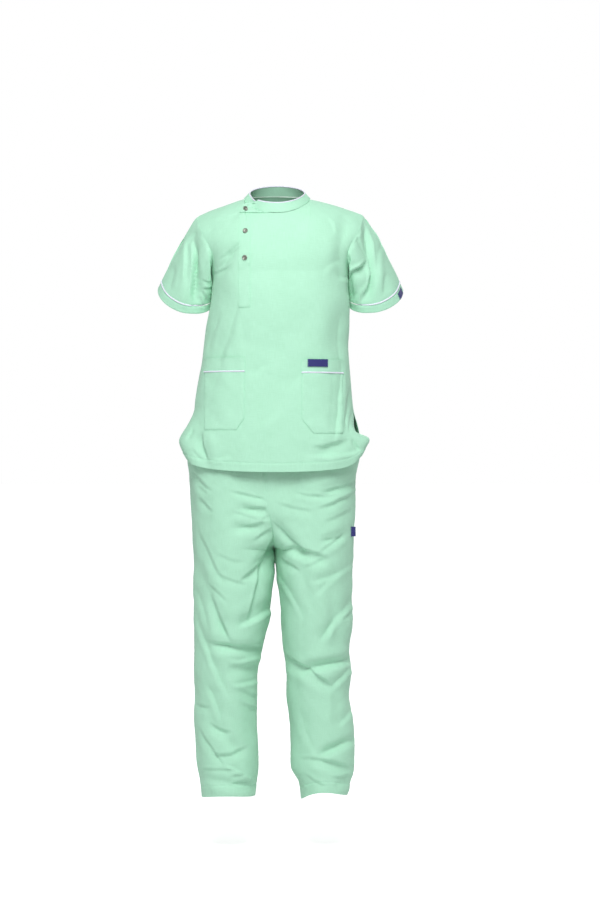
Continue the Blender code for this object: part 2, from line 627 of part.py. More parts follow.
# Making meshes

def material(name, colour, rough, metal=0.0):
    made = bpy.data.materials.new(name)
    made.use_nodes = True
    shader = made.node_tree.nodes["Principled BSDF"]
    shader.inputs["Base Color"].default_value = (*colour, 1.0)
    shader.inputs["Roughness"].default_value = rough
    shader.inputs["Metallic"].default_value = metal
    made.diffuse_color = (*colour, 1.0)
    return made


def add_object(name, verts, faces, colour, rough=0.85, metal=0.0):
    mesh = bpy.data.meshes.new(name)
    mesh.from_pydata([tuple(v) for v in verts], [], faces)
    shape = bmesh.new()
    shape.from_mesh(mesh)
    bmesh.ops.triangulate(shape, faces=shape.faces[:])
    bmesh.ops.recalc_face_normals(shape, faces=shape.faces[:])
    shape.to_mesh(mesh)
    shape.free()
    mesh.shade_smooth()
    mesh.set_sharp_from_angle(angle=math.radians(40.0))
    mesh.materials.append(material(name + "_finish", colour, rough, metal))
    made = bpy.data.objects.new(name, mesh)
    bpy.context.scene.collection.objects.link(made)
    return made


def grid(place, across, down):
    return [[place(a, b) for a in across] for b in down]


def wall(name, rows, thick, colour, loop=False):
    """A closed wall of cloth from a grid of points with their normals. A loop closes on itself."""
    wide, high = len(rows[0]), len(rows)
    verts = []
    for sign in (0.5, -0.5):
        for row in rows:
            verts += [point + normal * (sign * thick) for point, normal in row]
    inner = wide * high
    faces = []
    cells = wide if loop else wide - 1
    for j in range(high - 1):
        for i in range(cells):
            k = (i + 1) % wide
            a, b, c, d = j * wide + i, j * wide + k, (j + 1) * wide + k, (j + 1) * wide + i
            faces.append((a, b, c, d))
            faces.append((inner + d, inner + c, inner + b, inner + a))
    for i in range(cells):
        k = (i + 1) % wide
        low = (high - 1) * wide
        faces.append((i, inner + i, inner + k, k))
        faces.append((low + i, low + k, inner + low + k, inner + low + i))
    if not loop:
        for j in range(high - 1):
            for i, flip in ((0, False), (wide - 1, True)):
                a, b = j * wide + i, (j + 1) * wide + i
                face = (a, b, inner + b, inner + a)
                faces.append(face[::-1] if flip else face)
    return add_object(name, verts, faces, colour)


def shares(count, power=1.0):
    return [(i / count)**power for i in range(count + 1)]


def panel_lines():
    """Lines down a tunic panel: close together at the shoulder, even below the armpit."""
    upper = [YOKE * share for share in shares(9, 1.35)]
    lower = [mix(YOKE, 1.0, share) for share in shares(16)]
    return upper + lower[1:]


def panel_columns(at_neck, beside):
    """Lines across a tunic panel: closest under the neckline."""
    neck = [mix(0.5 - NECK_SHARE / 2, 0.5 + NECK_SHARE / 2, share) for share in shares(at_neck)]
    right = [neck[0] * share for share in shares(beside, 1.3)]
    left = [1.0 - a for a in reversed(right)]
    return right[:-1] + neck + left[1:]


def leg_lines():
    """Lines down a leg panel: closest round the crotch."""
    length = LEG_HEM[RIGHT].inner - WAIST_Z
    crotch_from, crotch_to = (CROTCH_TOP - WAIST_Z) / length, (-0.800 - WAIST_Z) / length
    upper = [crotch_from * share for share in shares(7)]
    middle = [mix(crotch_from, crotch_to, share) for share in shares(8, 0.75)]
    lower = [mix(crotch_to, 1.0, share) for share in shares(18)]
    return upper + middle[1:] + lower[1:]


def build_tunic():
    lines = panel_lines()
    front = wall("tunic_front", grid(front_place, panel_columns(10, 7), lines), CLOTH, MINT)
    wall("tunic_back", grid(back_place, panel_columns(8, 7), lines), CLOTH, MINT)
    keep_seat("front", front)


def build_sleeve(hand, word):
    def place(w, t):
        return sleeve_place(hand, w, t)
    count = 24
    round_ = [(i + 0.5) / count for i in range(count)]
    seam = SEAM / SLEEVE_LONG
    gap = (PIPING / 2) / SLEEVE_LONG + seam
    down = [(CUFF_SHARE - gap) * share for share in shares(7)]
    trim = [CUFF_SHARE - gap + seam, CUFF_SHARE + gap - seam]
    wall("sleeve_" + word, grid(place, round_, down), CLOTH, MINT, loop=True)
    wall("piping_cuff_" + word, grid(place, round_, trim), PIPING * 0.8, WHITE, loop=True)
    wall("cuff_" + word, grid(place, round_, [CUFF_SHARE + gap, 1.0]), DOUBLE, MINT, loop=True)


def clear_of(carrier, point, gap):
    """How far a point has to move out to stand a gap away from its carrier, and in which direction."""
    spot, normal, _, _ = seats[carrier].find_nearest(point)
    return max(gap - (point - spot).dot(normal), 0.0), normal


def lift_cells(rows, thick, carrier):
    """Lifts the corners of each cell that would dip into the carrier's faces between its corners."""
    parts = [0.0, 0.25, 0.5, 0.75, 1.0]
    for _ in range(3):
        for j in range(len(rows) - 1):
            for i in range(len(rows[0]) - 1):
                corners = [rows[j][i], rows[j][i + 1], rows[j + 1][i], rows[j + 1][i + 1]]
                lift = 0.0
                for s in parts:
                    for t in parts:
                        upper = mix(corners[0][0], corners[1][0], s)
                        lower = mix(corners[2][0], corners[3][0], s)
                        inner = mix(upper, lower, t) - corners[0][1] * (thick / 2)
                        lift = max(lift, clear_of(carrier, inner, LAY / 2)[0])
                for j2, i2 in ((j, i), (j, i + 1), (j + 1, i), (j + 1, i + 1)):
                    point, normal = rows[j2][i2]
                    rows[j2][i2] = (point + normal * lift, normal)


def sewn_on(name, corner, across, down, thick, colour, carrier="front"):
    """A piece sewn on the front. The corner function gives x and z at shares a and b."""
    def place(a, b):
        x, z = corner(a, b)
        return on_front(x, z, LAY + thick / 2, carrier)
    rows = grid(place, across, down)
    lift_cells(rows, thick, carrier)
    return wall(name, rows, thick, colour)


def build_pocket(hand, word):
    pocket = POCKET[hand]
    half = PIPING / 2

    def bag(a, b):
        z = mix(pocket.piping - half - SEAM, pocket.low, b)
        cut = max(0.0, 1.0 - (z - pocket.low) / pocket.cut_up) * pocket.cut_in
        return mix(pocket.outer, pocket.inner + hand * cut, a), z

    def band(a, b):
        return mix(pocket.outer, pocket.inner, a), mix(pocket.top, pocket.piping + half + SEAM, b)

    def trim(a, b):
        return mix(pocket.outer, pocket.inner, a), mix(pocket.piping + half, pocket.piping - half, b)
    across = shares(8)
    sewn_on("pocket_" + word, bag, across, shares(9), CLOTH, MINT)
    sewn_on("piping_pocket_" + word, trim, across, shares(1), PIPING * 0.8, WHITE)
    keep_seat("band_" + word, sewn_on("pocket_band_" + word, band, across, shares(2), DOUBLE, MINT))


def build_placket():
    def strip(a, b):
        return mix(PLACKET_RIGHT_X, PLACKET_LEFT_X, a), mix(PLACKET_TOP_Z, PLACKET_LOW_Z, b)
    keep_seat("placket", sewn_on("placket", strip, shares(2), shares(17, 1.25), DOUBLE, MINT))


def build_snap(number):
    """A ring snap: a disc with a raised rim and a dimpled middle, on the placket or the collar's tab."""
    spot = SNAP_SPOTS[number]
    base, _ = on_front(spot.x, spot.z, 0.0, spot.carrier)
    normal = seats[spot.carrier].find_nearest(base)[1]
    side = normal.cross(Vector((0.0, 0.0, 1.0))).normalized()
    up = side.cross(normal)
    profile = [(0.90, 0.0), (1.0, 0.45), (0.88, 1.0), (0.70, 0.95), (0.60, 0.55), (0.30, 0.60), (0.18, 0.35)]
    count = 14
    verts, faces = [], []
    turns = [2.0 * math.pi * i / count for i in range(count)]
    rounds = [side * math.cos(turn) + up * math.sin(turn) for turn in turns]
    base += normal * max(clear_of(spot.carrier, base + round_ * SNAP_RADIUS, 2.0 * SEAM)[0] for round_ in rounds)
    for radius, height in profile:
        verts += [base + round_ * (radius * SNAP_RADIUS) + normal * (height * SNAP_HIGH) for round_ in rounds]
    for j in range(len(profile) - 1):
        for i in range(count):
            k = (i + 1) % count
            faces.append((j * count + i, j * count + k, (j + 1) * count + k, (j + 1) * count + i))
    faces.append(tuple(range(count))[::-1])
    faces.append(tuple(range((len(profile) - 1) * count, len(profile) * count)))
    add_object("snap_" + str(number + 1), verts, faces, NICKEL, 0.35, 0.9)


def build_labels():
    label = POCKET_LABEL

    def pocket_label(a, b):
        return mix(label.left, label.right, a), mix(label.top, label.low, b)
    sewn_on("label_pocket", pocket_label, shares(4), shares(2), LABEL, NAVY, "band_left")

    def sleeve_label(a, b):
        point, normal = sleeve_place(LEFT, mix(0.010, 0.075, a), mix(0.865, 0.985, b))
        return point + normal * (DOUBLE / 2 + LAY), normal
    wall("label_sleeve", grid(sleeve_label, shares(2), shares(1)), LABEL, NAVY)
    outer = leg_place(LEFT, FRONT)

    def leg_label(a, b):
        point, normal = outer(mix(0.90, 0.985, a), mix(0.3300, 0.3560, b))
        return point + normal * (CLOTH / 2 + LAY), normal
    wall("label_leg", grid(leg_label, shares(2), shares(2)), LABEL, NAVY)


def build_trousers():
    across = shares(10)
    lines = leg_lines()
    for hand, word in ((RIGHT, "right"), (LEFT, "left")):
        wall("leg_front_" + word, grid(leg_place(hand, FRONT), across, lines), CLOTH, MINT)
        wall("leg_back_" + word, grid(leg_place(hand, BACK), across, lines), CLOTH, MINT)
    round_ = [(i + 0.5) / 32 for i in range(32)]
    wall("waistband", grid(waistband_place, round_, shares(1)), DOUBLE, MINT, loop=True)


def build_collar():
    keep_seat("collar", wall("collar", grid(collar_place, shares(38), shares(2)), DOUBLE, MINT))
    wall("piping_collar", grid(collar_piping_place, shares(38), shares(1)), PIPING * 0.8, WHITE)


def main():
    for item in list(bpy.data.objects):
        bpy.data.objects.remove(item, do_unlink=True)
    build_tunic()
    for hand, word in ((RIGHT, "right"), (LEFT, "left")):
        build_sleeve(hand, word)
        build_pocket(hand, word)
    build_placket()
    build_collar()
    for number in range(len(SNAP_SPOTS)):
        build_snap(number)
    build_labels()
    build_trousers()


main()
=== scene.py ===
# %% [markdown]
# Scrub suit
#
# The suit is a short-sleeved tunic and straight trousers in mint poly-cotton, standing hollow as they are worn.
# Cloth could be draped by Blender's cloth simulation over a figure. Here every panel is instead laid out as a
# grid on a surface, from the same few sizes as the solids, and its creases are pressed in from a list. That
# keeps each seam, pocket and snap exactly where the pattern puts it, and gives the same result on every run.
#
# Metres, +Z up. The wearer faces -Y and the wearer's left is +X. The origin is at the base of the neck.

# %% Load the imported frame
import functools
import math
from collections import namedtuple

import bpy
import bmesh
import numpy as np
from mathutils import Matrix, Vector
from mathutils.bvhtree import BVHTree


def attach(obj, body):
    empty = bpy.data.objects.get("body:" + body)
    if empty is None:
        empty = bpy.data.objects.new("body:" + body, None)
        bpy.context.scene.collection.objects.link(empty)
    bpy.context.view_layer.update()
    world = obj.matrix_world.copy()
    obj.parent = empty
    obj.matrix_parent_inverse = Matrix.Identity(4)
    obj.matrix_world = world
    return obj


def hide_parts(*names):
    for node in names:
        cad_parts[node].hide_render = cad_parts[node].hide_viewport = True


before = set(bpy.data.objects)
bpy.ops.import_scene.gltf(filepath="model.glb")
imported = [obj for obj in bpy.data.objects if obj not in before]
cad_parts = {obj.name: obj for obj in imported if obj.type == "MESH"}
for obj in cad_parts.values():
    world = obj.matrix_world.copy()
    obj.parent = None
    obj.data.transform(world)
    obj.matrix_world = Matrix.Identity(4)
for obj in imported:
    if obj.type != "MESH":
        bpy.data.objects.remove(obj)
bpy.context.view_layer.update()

# %% [markdown]
# Sizes
#
# A pattern cutter works from a size table: widths and depths of the body at a few heights, the neckline, the
# shoulder points and the hem. The tables below are that. A curve is drawn through their rows, so a short table
# gives a smooth side seam.

# %% Cloth and seams
CLOTH = 0.0016          # wall of one layer
DOUBLE = 0.0020         # wall of two layers with interfacing: collar, cuffs, placket
SEAM = 0.0003           # space between two pieces at a seam
LAY = 0.0008            # space between a panel and what is sewn on it
LABEL_WALL = 0.0007     # wall of a woven label
RIGHT, LEFT = -1, 1     # the wearer's sides
FRONT, BACK = -1, 1
HANDS = ((RIGHT, "right"), (LEFT, "left"))

# %% Sizes of the tunic
# Heights of the tunic
ARMPIT_Z = -0.165
VENT_Z = -0.480
HEM_Z = -0.607
YOKE = 0.34             # share b of a tunic panel that lies above the armpit
ROUND = 2.4             # how square the tunic's sections are: 2 is an ellipse

# Neckline and shoulders
NECK_WIDE = 0.0735
NECK_FRONT_Y, NECK_FRONT_Z = -0.082, -0.037
NECK_BACK_Y, NECK_BACK_Z = 0.064, 0.012
NECK_SHARE = 0.30       # share of the half width of a panel that the neckline takes
NECK_CURVE = {RIGHT: 1.0, LEFT: 1.3}    # the neckline stays low towards the tab and rises sooner on the left
SHOULDER = {RIGHT: Vector((-0.176, 0.004, -0.037)), LEFT: Vector((0.190, 0.004, -0.034))}
SCYE_IN = {FRONT: 0.34, BACK: 0.24}     # how far the armhole cuts into a panel

# Sections of the tunic: widths to each side, depths to the front and back
BodyRow = namedtuple("BodyRow", "z right left front back")
BODY = [
    BodyRow(-0.165, 0.147, 0.160, 0.120, 0.112),
    BodyRow(-0.200, 0.1445, 0.158, 0.125, 0.113),
    BodyRow(-0.232, 0.1475, 0.161, 0.127, 0.110),
    BodyRow(-0.286, 0.158, 0.160, 0.126, 0.104),
    BodyRow(-0.326, 0.163, 0.158, 0.124, 0.103),
    BodyRow(-0.362, 0.167, 0.160, 0.124, 0.106),
    BodyRow(-0.398, 0.174, 0.163, 0.126, 0.112),
    BodyRow(-0.434, 0.180, 0.166, 0.129, 0.120),
    BodyRow(-0.469, 0.184, 0.170, 0.132, 0.128),
    BodyRow(-0.500, 0.191, 0.178, 0.134, 0.134),
    BodyRow(-0.540, 0.206, 0.189, 0.136, 0.139),
    BodyRow(-0.580, 0.211, 0.194, 0.137, 0.141),
    BodyRow(-0.620, 0.208, 0.188, 0.138, 0.141),
]

# Free edges of the front below the vents, pushed out over the wrists: t is the share from armpit to hem
FlapRow = namedtuple("FlapRow", "t x y z")
FLAP = {
    RIGHT: [
        FlapRow(0.69, -0.184, -0.001, -0.472),
        FlapRow(0.77, -0.197, -0.022, -0.501),
        FlapRow(0.86, -0.216, -0.038, -0.536),
        FlapRow(0.93, -0.210, -0.048, -0.559),
        FlapRow(1.00, -0.199, -0.052, -0.579),
    ],
    LEFT: [
        FlapRow(0.69, 0.170, -0.001, -0.480),
        FlapRow(0.79, 0.174, -0.034, -0.518),
        FlapRow(0.85, 0.203, -0.046, -0.533),
        FlapRow(0.93, 0.196, -0.054, -0.554),
        FlapRow(1.00, 0.187, -0.058, -0.571),
    ],
}
FLAP_START = 0.52       # share of the half width where the front begins to follow its free edge
FLAP_LEAD, FLAP_EASE = 0.08, 0.12   # it begins this share above the vent, and is in full after the second
VENT_SPREAD = {FRONT: 0.16, BACK: 0.30}  # share of the quarter turn that the vent leaves open at the hem
SEAT_GAP = 0.0022       # space between the tunic's back and the trousers' seat
HEM_RISE = {FRONT: 0.024, BACK: 0.012}   # how far the hem rises to its corners

# Sleeves: the cuff's rim is a ring with its own centre, and arms to the outer, front and back points
CuffRing = namedtuple("CuffRing", "centre outer front back")
CUFF = {
    RIGHT: CuffRing(Vector((-0.2105, 0.036, -0.212)), Vector((-0.0575, 0.0, 0.011)),
                    Vector((0.005, -0.055, -0.042)), Vector((-0.004, 0.058, 0.026))),
    LEFT: CuffRing(Vector((0.2240, 0.036, -0.2125)), Vector((0.0585, 0.0, 0.009)),
                   Vector((-0.004, -0.055, -0.040)), Vector((0.004, 0.058, 0.026))),
}
SLEEVE_DOWN = {RIGHT: Vector((-0.30, 0.30, -0.90)), LEFT: Vector((0.30, 0.30, -0.90))}
CAP_REACH = 0.050       # how far the cap of a sleeve runs on in line with the shoulder
ARMPIT_BEND = 115.0     # degrees that the sleeve's cloth turns back from the panel's at the armpit
CUFF_REACH = 0.070
CUFF_SHARE = 0.835      # share of the sleeve's length where its piping lies
SLEEVE_LONG = 0.19      # length of a sleeve, to turn a width along it into a share
PIPING = 0.0034         # width of the white piping

# %% Sizes of the trousers
WAIST_Z = -0.440
WAISTBAND_TOP = -0.402
CROTCH_TOP, CROTCH_Z = -0.660, -0.776
INSEAM_Y = 0.010
CROTCH_CURVE = 2.4      # how square the centre seam runs under the crotch

# Sections of both legs: the outer and inner edge of each, the share of its width where it is deepest,
# and how far it reaches to the front and back
LegPair = namedtuple("LegPair", "z right_outer right_inner left_outer left_inner apex front back")
LEG_PAIRS = [
    LegPair(-0.400, -0.153, -0.014, 0.143, -0.014, 0.46, -0.098, 0.094),
    LegPair(-0.440, -0.157, -0.014, 0.147, -0.014, 0.46, -0.101, 0.101),
    LegPair(-0.470, -0.166, -0.015, 0.155, -0.015, 0.45, -0.105, 0.112),
    LegPair(-0.500, -0.180, -0.017, 0.166, -0.017, 0.44, -0.109, 0.121),
    LegPair(-0.540, -0.195, -0.020, 0.179, -0.020, 0.44, -0.112, 0.129),
    LegPair(-0.580, -0.200, -0.023, 0.182, -0.023, 0.44, -0.113, 0.132),
    LegPair(-0.612, -0.196, -0.025, 0.176, -0.025, 0.44, -0.113, 0.132),
    LegPair(-0.648, -0.193, -0.024, 0.174, -0.024, 0.45, -0.112, 0.129),
    LegPair(-0.690, -0.190, -0.019, 0.173, -0.019, 0.46, -0.111, 0.123),
    LegPair(-0.733, -0.189, -0.010, 0.171, -0.010, 0.48, -0.109, 0.115),
    LegPair(-0.776, -0.187, -0.005, 0.170, -0.005, 0.50, -0.107, 0.106),
    LegPair(-0.800, -0.186, -0.005, 0.169, -0.005, 0.50, -0.105, 0.102),
    LegPair(-0.840, -0.185, -0.0075, 0.167, -0.0015, 0.50, -0.102, 0.097),
    LegPair(-0.894, -0.185, -0.013, 0.166, 0.006, 0.50, -0.097, 0.090),
    LegPair(-0.948, -0.185, -0.020, 0.168, 0.009, 0.50, -0.091, 0.083),
    LegPair(-1.001, -0.185, -0.033, 0.160, 0.013, 0.50, -0.084, 0.077),
    LegPair(-1.055, -0.185, -0.043, 0.165, 0.020, 0.50, -0.079, 0.074),
    LegPair(-1.109, -0.183, -0.044, 0.159, 0.020, 0.50, -0.074, 0.075),
    LegPair(-1.162, -0.185, -0.045, 0.169, 0.027, 0.50, -0.071, 0.077),
    LegPair(-1.216, -0.181, -0.042, 0.172, 0.029, 0.50, -0.070, 0.077),
    LegPair(-1.270, -0.176, -0.041, 0.170, 0.031, 0.50, -0.070, 0.075),
    LegPair(-1.300, -0.171, -0.045, 0.163, 0.047, 0.50, -0.070, 0.073),
    LegPair(-1.345, -0.164, -0.052, 0.152, 0.055, 0.50, -0.068, 0.071),
]
LegRow = namedtuple("LegRow", "z outer inner apex front back")
LEG = {
    RIGHT: [LegRow(row.z, row.right_outer, row.right_inner, *row[5:]) for row in LEG_PAIRS],
    LEFT: [LegRow(row.z, row.left_outer, row.left_inner, *row[5:]) for row in LEG_PAIRS],
}
LegHem = namedtuple("LegHem", "inner front outer back")
LEG_HEM = {RIGHT: LegHem(-1.330, -1.324, -1.332, -1.336), LEFT: LegHem(-1.338, -1.316, -1.327, -1.334)}

# %% Largest folds, as the solids have them
# A fold or crease runs from (x0, z0) to (x1, z1). Its trough has a width and a depth, and its line may have a
# bow. The rows are in millimetres, as a tailor would chalk them: x0, z0, x1, z1, width, depth, bow.
Crease = namedtuple("Crease", "x0 z0 x1 z1 width depth bow", defaults=(0.0,))


def in_metres(table):
    """A table of creases with its rows turned from millimetres to metres."""
    return {piece: [Crease(*(value / 1000.0 for value in row)) for row in rows] for piece, rows in table.items()}


FOLDS = in_metres({
    ("tunic", FRONT): [
        (-142, -185, -96, -115, 14, 4.5), (-118, -210, -142, -335, 22, 4),
        (138, -170, 150, -50, 14, 4), (132, -240, 138, -340, 22, 3.5),
        (100, -565, 152, -545, 13, 4.5), (-176, -530, -156, -590, 13, 5),
    ],
    ("tunic", BACK): [
        (-128, -230, -85, -120, 18, 4), (135, -240, 92, -125, 18, 4),
        (-105, -330, 20, -365, 18, 4.5), (110, -315, -10, -335, 18, 4),
    ],
    ("sleeve", RIGHT): [
        (-186, -90, -182, -232, 13, 7),
    ],
    ("sleeve", LEFT): [
        (198, -65, 205, -215, 13, 7),
    ],
    ("leg", RIGHT, FRONT): [
        (-80, -686, -20, -700, 9, 3.5), (-95, -732, -30, -730, 10, 4),
        (-45, -812, -8, -770, 10, 4.5), (-70, -848, -12, -805, 12, 4),
        (-80, -942, -22, -895, 14, 5), (-176, -810, -110, -985, 12, 4.5),
        (-142, -990, -40, -1004, 12, 6.5), (-105, -1045, -48, -1046, 14, 6),
        (-145, -1160, -78, -1230, 12, 4.5), (-158, -1285, -55, -1305, 11, 4.5),
    ],
    ("leg", LEFT, FRONT): [
        (-2, -722, 60, -795, 10, 4.5), (30, -780, 105, -806, 10, 4),
        (105, -650, 168, -628, 11, 4), (100, -762, 150, -744, 10, 3.5),
        (52, -810, 72, -900, 13, 4), (118, -875, 140, -985, 12, 4),
        (62, -1043, 160, -1026, 11, 6.5), (25, -1030, 120, -1086, 10, 5),
        (96, -1232, 165, -1205, 10, 4.5), (90, -1246, 155, -1272, 10, 4),
        (130, -1298, 162, -1298, 9, 3.5),
    ],
    ("leg", RIGHT, BACK): [
        (-165, -770, -60, -800, 12, 4.5), (-150, -850, -30, -820, 12, 4),
        (-155, -1010, -55, -1035, 12, 6.5), (-150, -1070, -60, -1062, 11, 5.5),
        (-150, -1235, -65, -1262, 12, 4.5), (-145, -1300, -70, -1296, 10, 4),
    ],
    ("leg", LEFT, BACK): [
        (152, -778, 45, -802, 12, 4.5), (140, -860, 25, -828, 12, 4),
        (146, -1018, 40, -1040, 12, 6.5), (140, -1076, 45, -1066, 11, 5.5),
        (150, -1228, 55, -1258, 12, 4.5), (145, -1302, 70, -1292, 10, 4),
    ],
})

# %% What is sewn on, and the collar
# Places are x and z on the face of the front
PLACKET_RIGHT_X, PLACKET_LEFT_X = -0.0822, -0.0581
PLACKET_TOP_Z, PLACKET_LOW_Z = -0.0380, -0.2460
Pocket = namedtuple("Pocket", "outer inner top piping low cut_in cut_up")
POCKET = {
    RIGHT: Pocket(-0.1595, -0.0700, -0.3560, -0.3865, -0.5150, 0.018, 0.026),
    LEFT: Pocket(0.1455, 0.0545, -0.3600, -0.3890, -0.5230, 0.026, 0.032),
}
Label = namedtuple("Label", "left right top low")
POCKET_LABEL = Label(0.0667, 0.1104, -0.3600, -0.3765)
SnapSpot = namedtuple("SnapSpot", "x z carrier")
SNAP_SPOTS = [
    SnapSpot(-0.0705, -0.0260, "collar"),
    SnapSpot(-0.0690, -0.0775, "placket"),
    SnapSpot(-0.0700, -0.1375, "placket"),
]
SNAP_RADIUS, SNAP_HIGH = 0.0058, 0.0024

# Collar: angles round the neck in degrees, 0 at the front and 90 at the wearer's left
COLLAR_START, COLLAR_END = -62.0, 304.0
COLLAR_TOP_WIDE = 0.0625
COLLAR_TOP_FRONT_Y, COLLAR_TOP_BACK_Y = -0.073, 0.055
COLLAR_TOP_FRONT_Z, COLLAR_TOP_SIDE_Z, COLLAR_TOP_BACK_Z = -0.0145, 0.0130, 0.0340
UNDERLAP_FROM, UNDERLAP_IN, UNDERLAP_DOWN = 272.0, 0.055, 0.005     # the hidden end slips behind the tab
TAB_RING = -42.0        # angle where the tab leaves the ring
TAB_END_X = -0.0822     # the tab runs past the neckline to here
TAB_TOP_Z = -0.0195     # upper corner of the tab at its end
TAB_SHARE = 0.10        # share of the collar's length that the tab takes

# %% [markdown]
# Surfaces
#
# A panel is a function of two shares from 0 to 1: a runs across the piece and b runs down it. Modelling by
# moving vertices would lose the sizes, while a function can be sampled as finely as a close view needs.

# %% Numbers and tables
def smooth(t):
    t = min(max(t, 0.0), 1.0)
    return t * t * (3.0 - 2.0 * t)


def mix(a, b, t):
    return a + (b - a) * t


def read_row(rows, place):
    """Reads every column of a table at a place, on a smooth curve through its rows."""
    keys = [row[0] for row in rows]
    sign = 1.0 if keys[-1] > keys[0] else -1.0
    place = min(max(place * sign, keys[0] * sign), keys[-1] * sign) * sign
    i = 0
    while i < len(rows) - 2 and (place - keys[i + 1]) * sign > 0.0:
        i += 1
    span = keys[i + 1] - keys[i]
    t = (place - keys[i]) / span
    values = []
    for column in range(len(rows[0])):
        here, there = rows[i][column], rows[i + 1][column]
        before = rows[i - 1][column] if i > 0 else here
        after = rows[i + 2][column] if i + 2 < len(rows) else there
        slope_in = (there - before) / (keys[i + 1] - (keys[i - 1] if i > 0 else keys[i])) * span
        slope_out = (after - here) / ((keys[i + 2] if i + 2 < len(rows) else keys[i + 1]) - keys[i]) * span
        values.append((2 * t**3 - 3 * t**2 + 1) * here + (t**3 - 2 * t**2 + t) * slope_in
                      + (3 * t**2 - 2 * t**3) * there + (t**3 - t**2) * slope_out)
    return type(rows[0])(*values)

# %% Tunic panels
def top_edge(side, across):
    """Upper edge of a tunic panel: the neckline in the middle and the shoulder seams beside it."""
    reach = abs(across)
    hand = LEFT if across > 0 else RIGHT
    if reach < NECK_SHARE:
        turn = reach / NECK_SHARE * math.pi / 2
        low_y, low_z = (NECK_FRONT_Y, NECK_FRONT_Z) if side == FRONT else (NECK_BACK_Y, NECK_BACK_Z)
        curve = NECK_CURVE[hand] if side == FRONT else 1.0
        ahead = max(math.cos(turn), 0.0)
        return Vector((hand * NECK_WIDE * math.sin(turn), low_y * ahead, low_z * ahead**curve))
    t = (reach - NECK_SHARE) / (1.0 - NECK_SHARE)
    tip = SHOULDER[hand]
    return Vector((mix(hand * NECK_WIDE, tip.x, t), tip.y * t, tip.z * (0.75 * t + 0.25 * t * t)))


def oval(row, side, across, spread):
    """Point of a section: across is -1 to 1 over the panel, spread is the turn that it reaches at its edges."""
    turn = abs(across) * spread
    width = row.left if across > 0 else row.right
    depth = row.front if side == FRONT else row.back
    x = math.copysign(width * math.sin(turn)**(2.0 / ROUND), across)
    return x, side * depth * max(math.cos(turn), 0.0)**(2.0 / ROUND)


def seat_depth(x, z, clear):
    """How far back the trousers reach at a place, grown by a clearance, so that the tunic can lie on them."""
    if z > WAISTBAND_TOP:
        return 0.0
    hand = LEFT if x > read_row(LEG[RIGHT], z).inner else RIGHT
    row = read_row(LEG[hand], z)
    apex_x = mix(row.inner, row.outer, row.apex)
    share = (x - apex_x) / (row.outer + hand * clear - apex_x)
    if share >= 1.0:
        return 0.0
    return (row.back + clear) * math.sqrt(1.0 - max(share, 0.0)**2)


def tunic_point(side, a, b):
    across = min(max(2.0 * a - 1.0, -1.0), 1.0)
    reach = abs(across)
    quarter = math.pi / 2
    if b < YOKE:
        s = b / YOKE
        spread = quarter * (1.0 - SCYE_IN[side] * math.sin(math.pi * min(s, 1.0))**0.7)
        x, y = oval(read_row(BODY, ARMPIT_Z), side, across, spread)
        top = top_edge(side, across)
        swell = 0.5 + 0.35 * max(0.0, 1.0 - (reach / NECK_SHARE)**2)
        out = (1.0 - (1.0 - s)**2.2)**swell
        point = Vector((mix(top.x, x, smooth(s)), mix(top.y, y, out), mix(top.z, ARMPIT_Z, s)))
    else:
        s = (b - YOKE) / (1.0 - YOKE)
        z = mix(ARMPIT_Z, HEM_Z + HEM_RISE[side] * reach**2, s)
        vent = smooth((VENT_Z - z) / (VENT_Z - HEM_Z))
        x, y = oval(read_row(BODY, z), side, across, quarter * (1.0 - VENT_SPREAD[side] * vent))
        point = Vector((x, y, z))
        if side == BACK:
            point.y = max(y, seat_depth(x, z, CLOTH + SEAT_GAP))
        elif s > FLAP[RIGHT][0].t - FLAP_LEAD and reach > FLAP_START:
            rows = FLAP[LEFT if across > 0 else RIGHT]
            edge = read_row(rows, s)
            edge_x, edge_y = oval(read_row(BODY, z), side, math.copysign(1.0, across),
                                  quarter * (1.0 - VENT_SPREAD[side] * vent))
            edge_z = mix(ARMPIT_Z, HEM_Z + HEM_RISE[side], s)
            pull = smooth((reach - FLAP_START) / (1.0 - FLAP_START))**1.5
            pull *= smooth((s - rows[0].t + FLAP_LEAD) / FLAP_EASE)
            point += Vector((edge.x - edge_x, edge.y - edge_y, edge.z - edge_z)) * pull
    point.y += side * SEAM / 2
    return point


def tunic_front(a, b):
    return tunic_point(FRONT, a, b)


def tunic_back(a, b):
    return tunic_point(BACK, a, b)


# %% Armholes and sleeves
NUDGE = 2e-4


@functools.lru_cache(maxsize=None)
def armhole(hand, w):
    """Point of the armhole at a share w round it, the panel's normal and the way that leads off the panel."""
    front = w < 0.5
    share = 2.0 * w if front else 2.0 * (1.0 - w)
    b = min(max(share, 0.004), 0.985) * YOKE
    surface = tunic_front if front else tunic_back
    a = 1.0 if hand == LEFT else 0.0
    point = surface(a, b)
    step_a = surface(min(a + NUDGE, 1.0), b) - surface(max(a - NUDGE, 0.0), b)
    along = surface(a, b + NUDGE) - surface(a, b - NUDGE)
    normal = step_a.cross(along).normalized()
    if normal.dot(point - Vector((0.0, 0.0, min(point.z - 0.08, -0.20)))) < 0.0:
        normal.negate()
    out = normal.cross(along.normalized()).normalized()
    if out.dot(point - surface(a - hand * 0.04, b)) < 0.0:
        out.negate()
    return point, normal, out


def cuff_point(hand, w):
    ring = CUFF[hand]
    turn = 2.0 * math.pi * w
    reach = ring.front if w < 0.5 else ring.back
    return ring.centre + ring.outer * math.cos(turn) + reach * abs(math.sin(turn))


